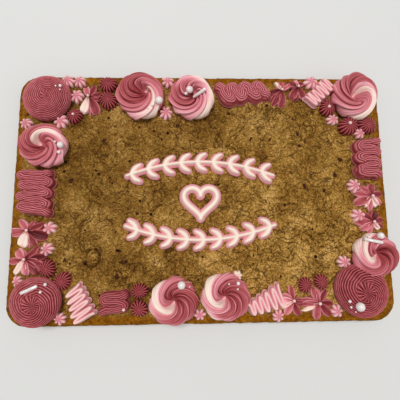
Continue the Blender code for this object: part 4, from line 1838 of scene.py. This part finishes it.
# Each band's name, place, heading, length, width, height and number of strokes
# and, where they are given, its far end's share of the width, its slant and tone.
ZIGZAGS = (
    Zigzag("zigzag_left", -198, 2.5, -90, 58, 44, 14, 8, slant=1.5, tone=-0.04, seed=1),
    Zigzag("zigzag_back", 52, 128, 6, 68, 34, 14, 7, 0.8, -1.5, seed=2),
    Zigzag("zigzag_right", 204, 43, -90, 52, 38.5, 14, 6, 0.88, tone=-0.03, seed=3),
    Zigzag("zigzag_front", -102.5, -124.5, -90, 30, 37, 13, 3, overlap=1.6, tone=-0.13, seed=4),
)
RUFFLES = (
    Ruffle("ruffle_back", 149, 128, 43, 41, 22, 10, 11, pitch=4.2, tone=0.06, seed=5),
    Ruffle("ruffle_front_a", -141.5, -125, -66, 40, 22, 11, 10, 1.4, -2.2, 0.1, seed=6),
    Ruffle("ruffle_front_b", 71, -127, 23, 44, 17, 11, 10, 1.8, 0.5, 0.08, pitch=4.8, seed=7),
)
ORNAMENT = (
    LeafySpray("spray_upper", -3, 22, facing=0, seed=8),
    LeafySpray("spray_lower", -3, -38, facing=180, seed=9),
    HeartLine(),
)
# Each piece that carries pearls, with the place and radius of each pearl.
PEARLS = {
    "rosette_corner_back_left": ((-169.5, 129, 1.9), (-174.5, 128.5, 1.1), (-169.5, 124, 1.0)),
    "rosette_left": ((-166, 56.5, 4.0), (-168.5, 48.5, 2.2), (-172, 60, 1.4)),
    "rosette_corner_front_left": ((-176, -102, 1.9), (-179, -109.5, 1.6)),
    "rosette_front_a": ((-25.5, -104.5, 4.6), (-16.5, -107, 0.9)),
    "rosette_front_b": ((38, -103.5, 2.2), (27.5, -104, 1.1), (37, -109.5, 1.1)),
    "rosette_corner_front_right": (
        (173.5, -130.5, 5.0), (163.5, -125, 1.9), (165, -131.5, 1.4), (170.5, -137, 0.9),
    ),
    "rosette_right": ((204, -52, 4.0), (191, -53, 1.4)),
    "rosette_back_a": ((-52, 111, 4.7), (-60, 105, 1.6), (-65, 102, 1.2)),
    "rosette_back_b": ((-15.5, 128, 4.6), (-20, 121.5, 2.1)),
    "button_01": ((-157, 98, 1.7),),
    "button_04": ((159, 109, 2.0),),
    "button_05": ((183, 87, 2.2),),
    "zigzag_front": ((-90, -131, 1.8),),
    "flower_back_a": ((-140, 122, 1.75),),
    "flower_back_b": ((101, 131.5, 1.65),),
    "flower_back_c": ((122, 136, 1.65),),
    "flower_right_a": ((205.5, -4, 1.95),),
    "flower_right_b": ((205.5, -35, 1.75),),
    "flower_front_a": ((133.5, -129, 1.95),),
    "flower_front_b": ((103.5, -125.5, 1.85),),
    "flower_left_a": ((-205, -75, 1.75),),
    "flower_left_b": ((-204, -42, 1.75),),
}
# Each rod's piece and the places of its ends.
RODS = (
    Rod("rosette_corner_front_left", (-201, -111), (-183, -103)),
    Rod("rosette_right", (185, -55.5), (203.5, -60)),
    Rod("rosette_back_b", (-11, 118), (4, 123)),
)
# The places that each crack goes through, its width and its depth.
CRACKS = (
    Crack(((-165, 59), (-157, 57.5), (-148, 59.5)), 0.9, 1.6),
    Crack(((141, -66), (150, -62), (158, -66), (168, -65), (176, -70), (184, -76)), 1.3, 1.9),
    Crack(((152, -46), (158, -58), (163, -70)), 1.0, 1.2),
    Crack(((127, -40), (133, -52), (130, -62), (126, -78)), 1.0, 1.1),
    Crack(((100, -88), (108, -86), (114, -83)), 1.2, 1.6),
    Crack(((167, -81), (172, -78), (177, -77)), 1.2, 1.5),
    Crack(((-99, -80), (-88, -70), (-78, -62)), 0.9, 0.9),
    Crack(((60, -58), (62, -66), (59, -74)), 1.0, 1.2),
)
# Each mound's place, length, width, turn, height and the depth of its groove.
MOUNDS = (
    Mound(-130.5, -75, 21, 15, 80, 1.2, 2.6),
    Mound(-101, -96, 15, 10, 120, 0.5, 1.2),
    Mound(-79, -24, 10, 8, 30, 0.5, 1.2),
    Mound(58, -72, 9, 7, 60, 0.5, 1.2),
    Mound(-163, -76, 11, 8, 60, 0.4, 1.1),
)
# Each chocolate bit: its place, length, width and turn.
BITS = (
    (-121, 68, 6, 4, 30), (-160, 17, 7, 5, 67), (-163, -77, 8, 5, 60), (-102, -96, 9, 6, 120),
    (-79, -23, 6, 4, 155), (120, 78, 9, 4.5, 105), (122, 61, 5, 4, 60), (61, 71, 9, 3.5, 70),
    (79, 36, 9, 4, 63), (58, -73, 7, 4, 130), (-94, -80, 10, 4, 5), (-31, 87, 6, 4, 84),
    (173, 43, 6, 5, 151), (85, 69, 4, 3.5, 38), (126, 10, 6, 4, 105), (-88, -48, 9, 6, 172),
    (83, -62, 5, 4, 59), (165, 24, 7, 4, 126), (-108, 85, 5, 4, 13), (150, 4, 6, 4, 80),
    (-60, 80, 4, 3, 147), (30, 60, 4, 3, 34), (110, -20, 4, 3, 101), (-130, 30, 4, 3, 168),
)


@dataclass(frozen=True)
class Studio:
    """The camera, as the photograph was taken, a pale floor and soft light."""

    azimuth: float = -14.28
    elevation: float = 82.71
    roll: float = 13.85
    distance_m: float = 0.3609
    target_m: tuple[float, float, float] = (-0.0035, -0.0069, 0.018)
    focal_px: float = 297.0
    frame_px: float = 400.0
    floor_half_m: float = 4.0
    floor_level_m: float = -0.0005
    sky_strength: float = 0.36

    # Each light's name, place and size in metres, and power in watts.
    LAMPS = (("key", (-0.4, 0.7, 3.1), 0.85, 58.0), ("fill", (2.0, -0.9, 2.6), 2.8, 14.0))

    def place_camera(self) -> None:
        """Makes the camera: it looks at its target from its azimuth and elevation, rolled."""
        azimuth, elevation, turn = (math.radians(v) for v in (self.azimuth, self.elevation, self.roll))
        level = math.cos(elevation)
        back = Vector((math.sin(azimuth) * level, -math.cos(azimuth) * level, math.sin(elevation)))
        right = (-back).cross(Vector((0, 0, 1))).normalized()
        up = right.cross(-back)
        rolled_right = right * math.cos(turn) + up * math.sin(turn)
        rolled_up = up * math.cos(turn) - right * math.sin(turn)
        data = bpy.data.cameras.new("camera")
        data.sensor_width = 36.0
        data.sensor_fit = "HORIZONTAL"
        data.lens = self.focal_px / self.frame_px * data.sensor_width
        data.clip_start = 0.01
        camera = bpy.data.objects.new("camera", data)
        axes = Matrix((rolled_right, rolled_up, back)).transposed()
        place = Vector(self.target_m) + back * self.distance_m
        camera.matrix_world = Matrix.Translation(place) @ axes.to_4x4()
        bpy.context.scene.collection.objects.link(camera)
        bpy.context.scene.camera = camera

    def lay_floor(self) -> None:
        """Makes the floor that the cake stands on."""
        mesh = bpy.data.meshes.new("floor")
        signs = ((-1, -1), (1, -1), (1, 1), (-1, 1))
        corners = [(x * self.floor_half_m, y * self.floor_half_m, self.floor_level_m) for x, y in signs]
        mesh.from_pydata(corners, [], [(0, 1, 2, 3)])
        mesh.materials.append(PaleFloor().material())
        floor = bpy.data.objects.new("floor", mesh)
        bpy.context.scene.collection.objects.link(floor)

    def light(self) -> None:
        """Makes one large soft light, one small brighter one and an even sky."""
        scene = bpy.context.scene
        scene.view_settings.view_transform = "Standard"
        scene.world = bpy.data.worlds.new("sky")
        scene.world.use_nodes = True
        backdrop = scene.world.node_tree.nodes["Background"]
        backdrop.inputs["Color"].default_value = (1.0, 0.99, 0.97, 1.0)
        backdrop.inputs["Strength"].default_value = self.sky_strength
        for name, place, size, power in self.LAMPS:
            lamp = bpy.data.lights.new(name, "AREA")
            lamp.size = size
            lamp.energy = power
            thing = bpy.data.objects.new(name, lamp)
            thing.location = place
            thing.rotation_euler = (-Vector(place)).to_track_quat("-Z", "Y").to_euler()
            scene.collection.objects.link(thing)

    def build(self) -> None:
        """Makes all of it."""
        self.place_camera()
        self.lay_floor()
        self.light()


def add_piece(
    name: str, shell: Shell, material: bpy.types.Material, slot: Slot, node: str = ""
) -> bpy.types.Object:
    """Adds one piece of the cake.

    Args:
        name: the piece's name.
        shell: its surface.
        material: its material.
        slot: the record's slot for the piece; not used.
        node: the CAD node that it stands for, if any.

    Returns:
        The object.
    """
    piece = shell.to_object(name, material)
    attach(piece, "root")
    if node:
        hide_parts(node)
    LOG.info("%s: %d points, %d faces", name, len(shell.points), len(shell.quads) + len(shell.triangles))
    return piece


def build_slab() -> None:
    """Adds the slab and its chocolate bits."""
    shell, rim = Cookie(CRACKS, MOUNDS).build()
    slab = add_piece("crust", shell, BakedCrust().material(), Slot.COOKIE, "cookie")
    attribute = slab.data.attributes.new("rim", "FLOAT", "POINT")
    attribute.data.foreach_set("value", rim.astype(np.float32))
    add_piece("chocolate_bits", Bits(BITS).build(), Chocolate().material(), Slot.COOKIE)


def build_piping() -> dict[str, Shell]:
    """Adds every piped piece.

    Returns:
        The shell of each, by its node's name.
    """
    marbled = Buttercream("marbled_buttercream").material()
    rose = Buttercream("rose_buttercream", mottle=0.05).material()
    blush = Buttercream("blush_buttercream", mottle=0.05, roughness=0.46).material()
    line = Buttercream("line_buttercream", mottle=0.03, roughness=0.38).material()
    drops = [StarDab.drop(spot, 6 + seed % 2, seed) for seed, spot in enumerate(DROP_SPOTS)]
    buttons = [StarDab.button(spot, 14 + seed % 3, seed) for seed, spot in enumerate(BUTTON_SPOTS)]
    kinds = (
        (SWIRL_ROSETTES, marbled, Slot.MARBLED),
        (FLOWERS, marbled, Slot.MARBLED),
        (FINE_ROSETTES, rose, Slot.ROSE),
        (drops, blush, Slot.BLUSH),
        (buttons, rose, Slot.ROSE),
        (ZIGZAGS, rose, Slot.ROSE),
        (RUFFLES, blush, Slot.BLUSH),
        (ORNAMENT, line, Slot.CREAM),
    )
    shells: dict[str, Shell] = {}
    for pieces, material, slot in kinds:
        for piece in pieces:
            extras = [star.build() for star in JOINED_STARS if star.node == piece.node]
            shells[piece.node] = Shell.joined([piece.build()] + extras)
            add_piece(piece.node + "_piping", shells[piece.node], material, slot, piece.node)
    return shells


def scatter_sugar(hosts: dict[str, Shell]) -> None:
    """Adds the pearls and rods on the pieces that they lie on.

    Args:
        hosts: the shells by their nodes' names.
    """
    white = PearlSugar().material()
    pink = PearlSugar("pink_sugar", rgb(255, 222, 216), rgb(246, 198, 198)).material()
    pearls: dict[bool, list[Shell]] = {True: [], False: []}
    for host, rows in PEARLS.items():
        pearls[host.startswith("rosette")] += [Pearl(*row).build(hosts[host]) for row in rows]
    rods = [rod.build(hosts[rod.host]) for rod in RODS]
    add_piece("sugar_pearls", Shell.joined(pearls[True]), white, Slot.CREAM)
    add_piece("pink_pearls", Shell.joined(pearls[False]), pink, Slot.CREAM)
    add_piece("sugar_rods", Shell.joined(rods), white, Slot.CREAM)


def main() -> None:
    """Builds the studio and the cake."""
    logging.basicConfig(level=logging.INFO, format="%(message)s")
    Studio().build()
    build_slab()
    scatter_sugar(build_piping())


if __name__ == "__main__":
    main()
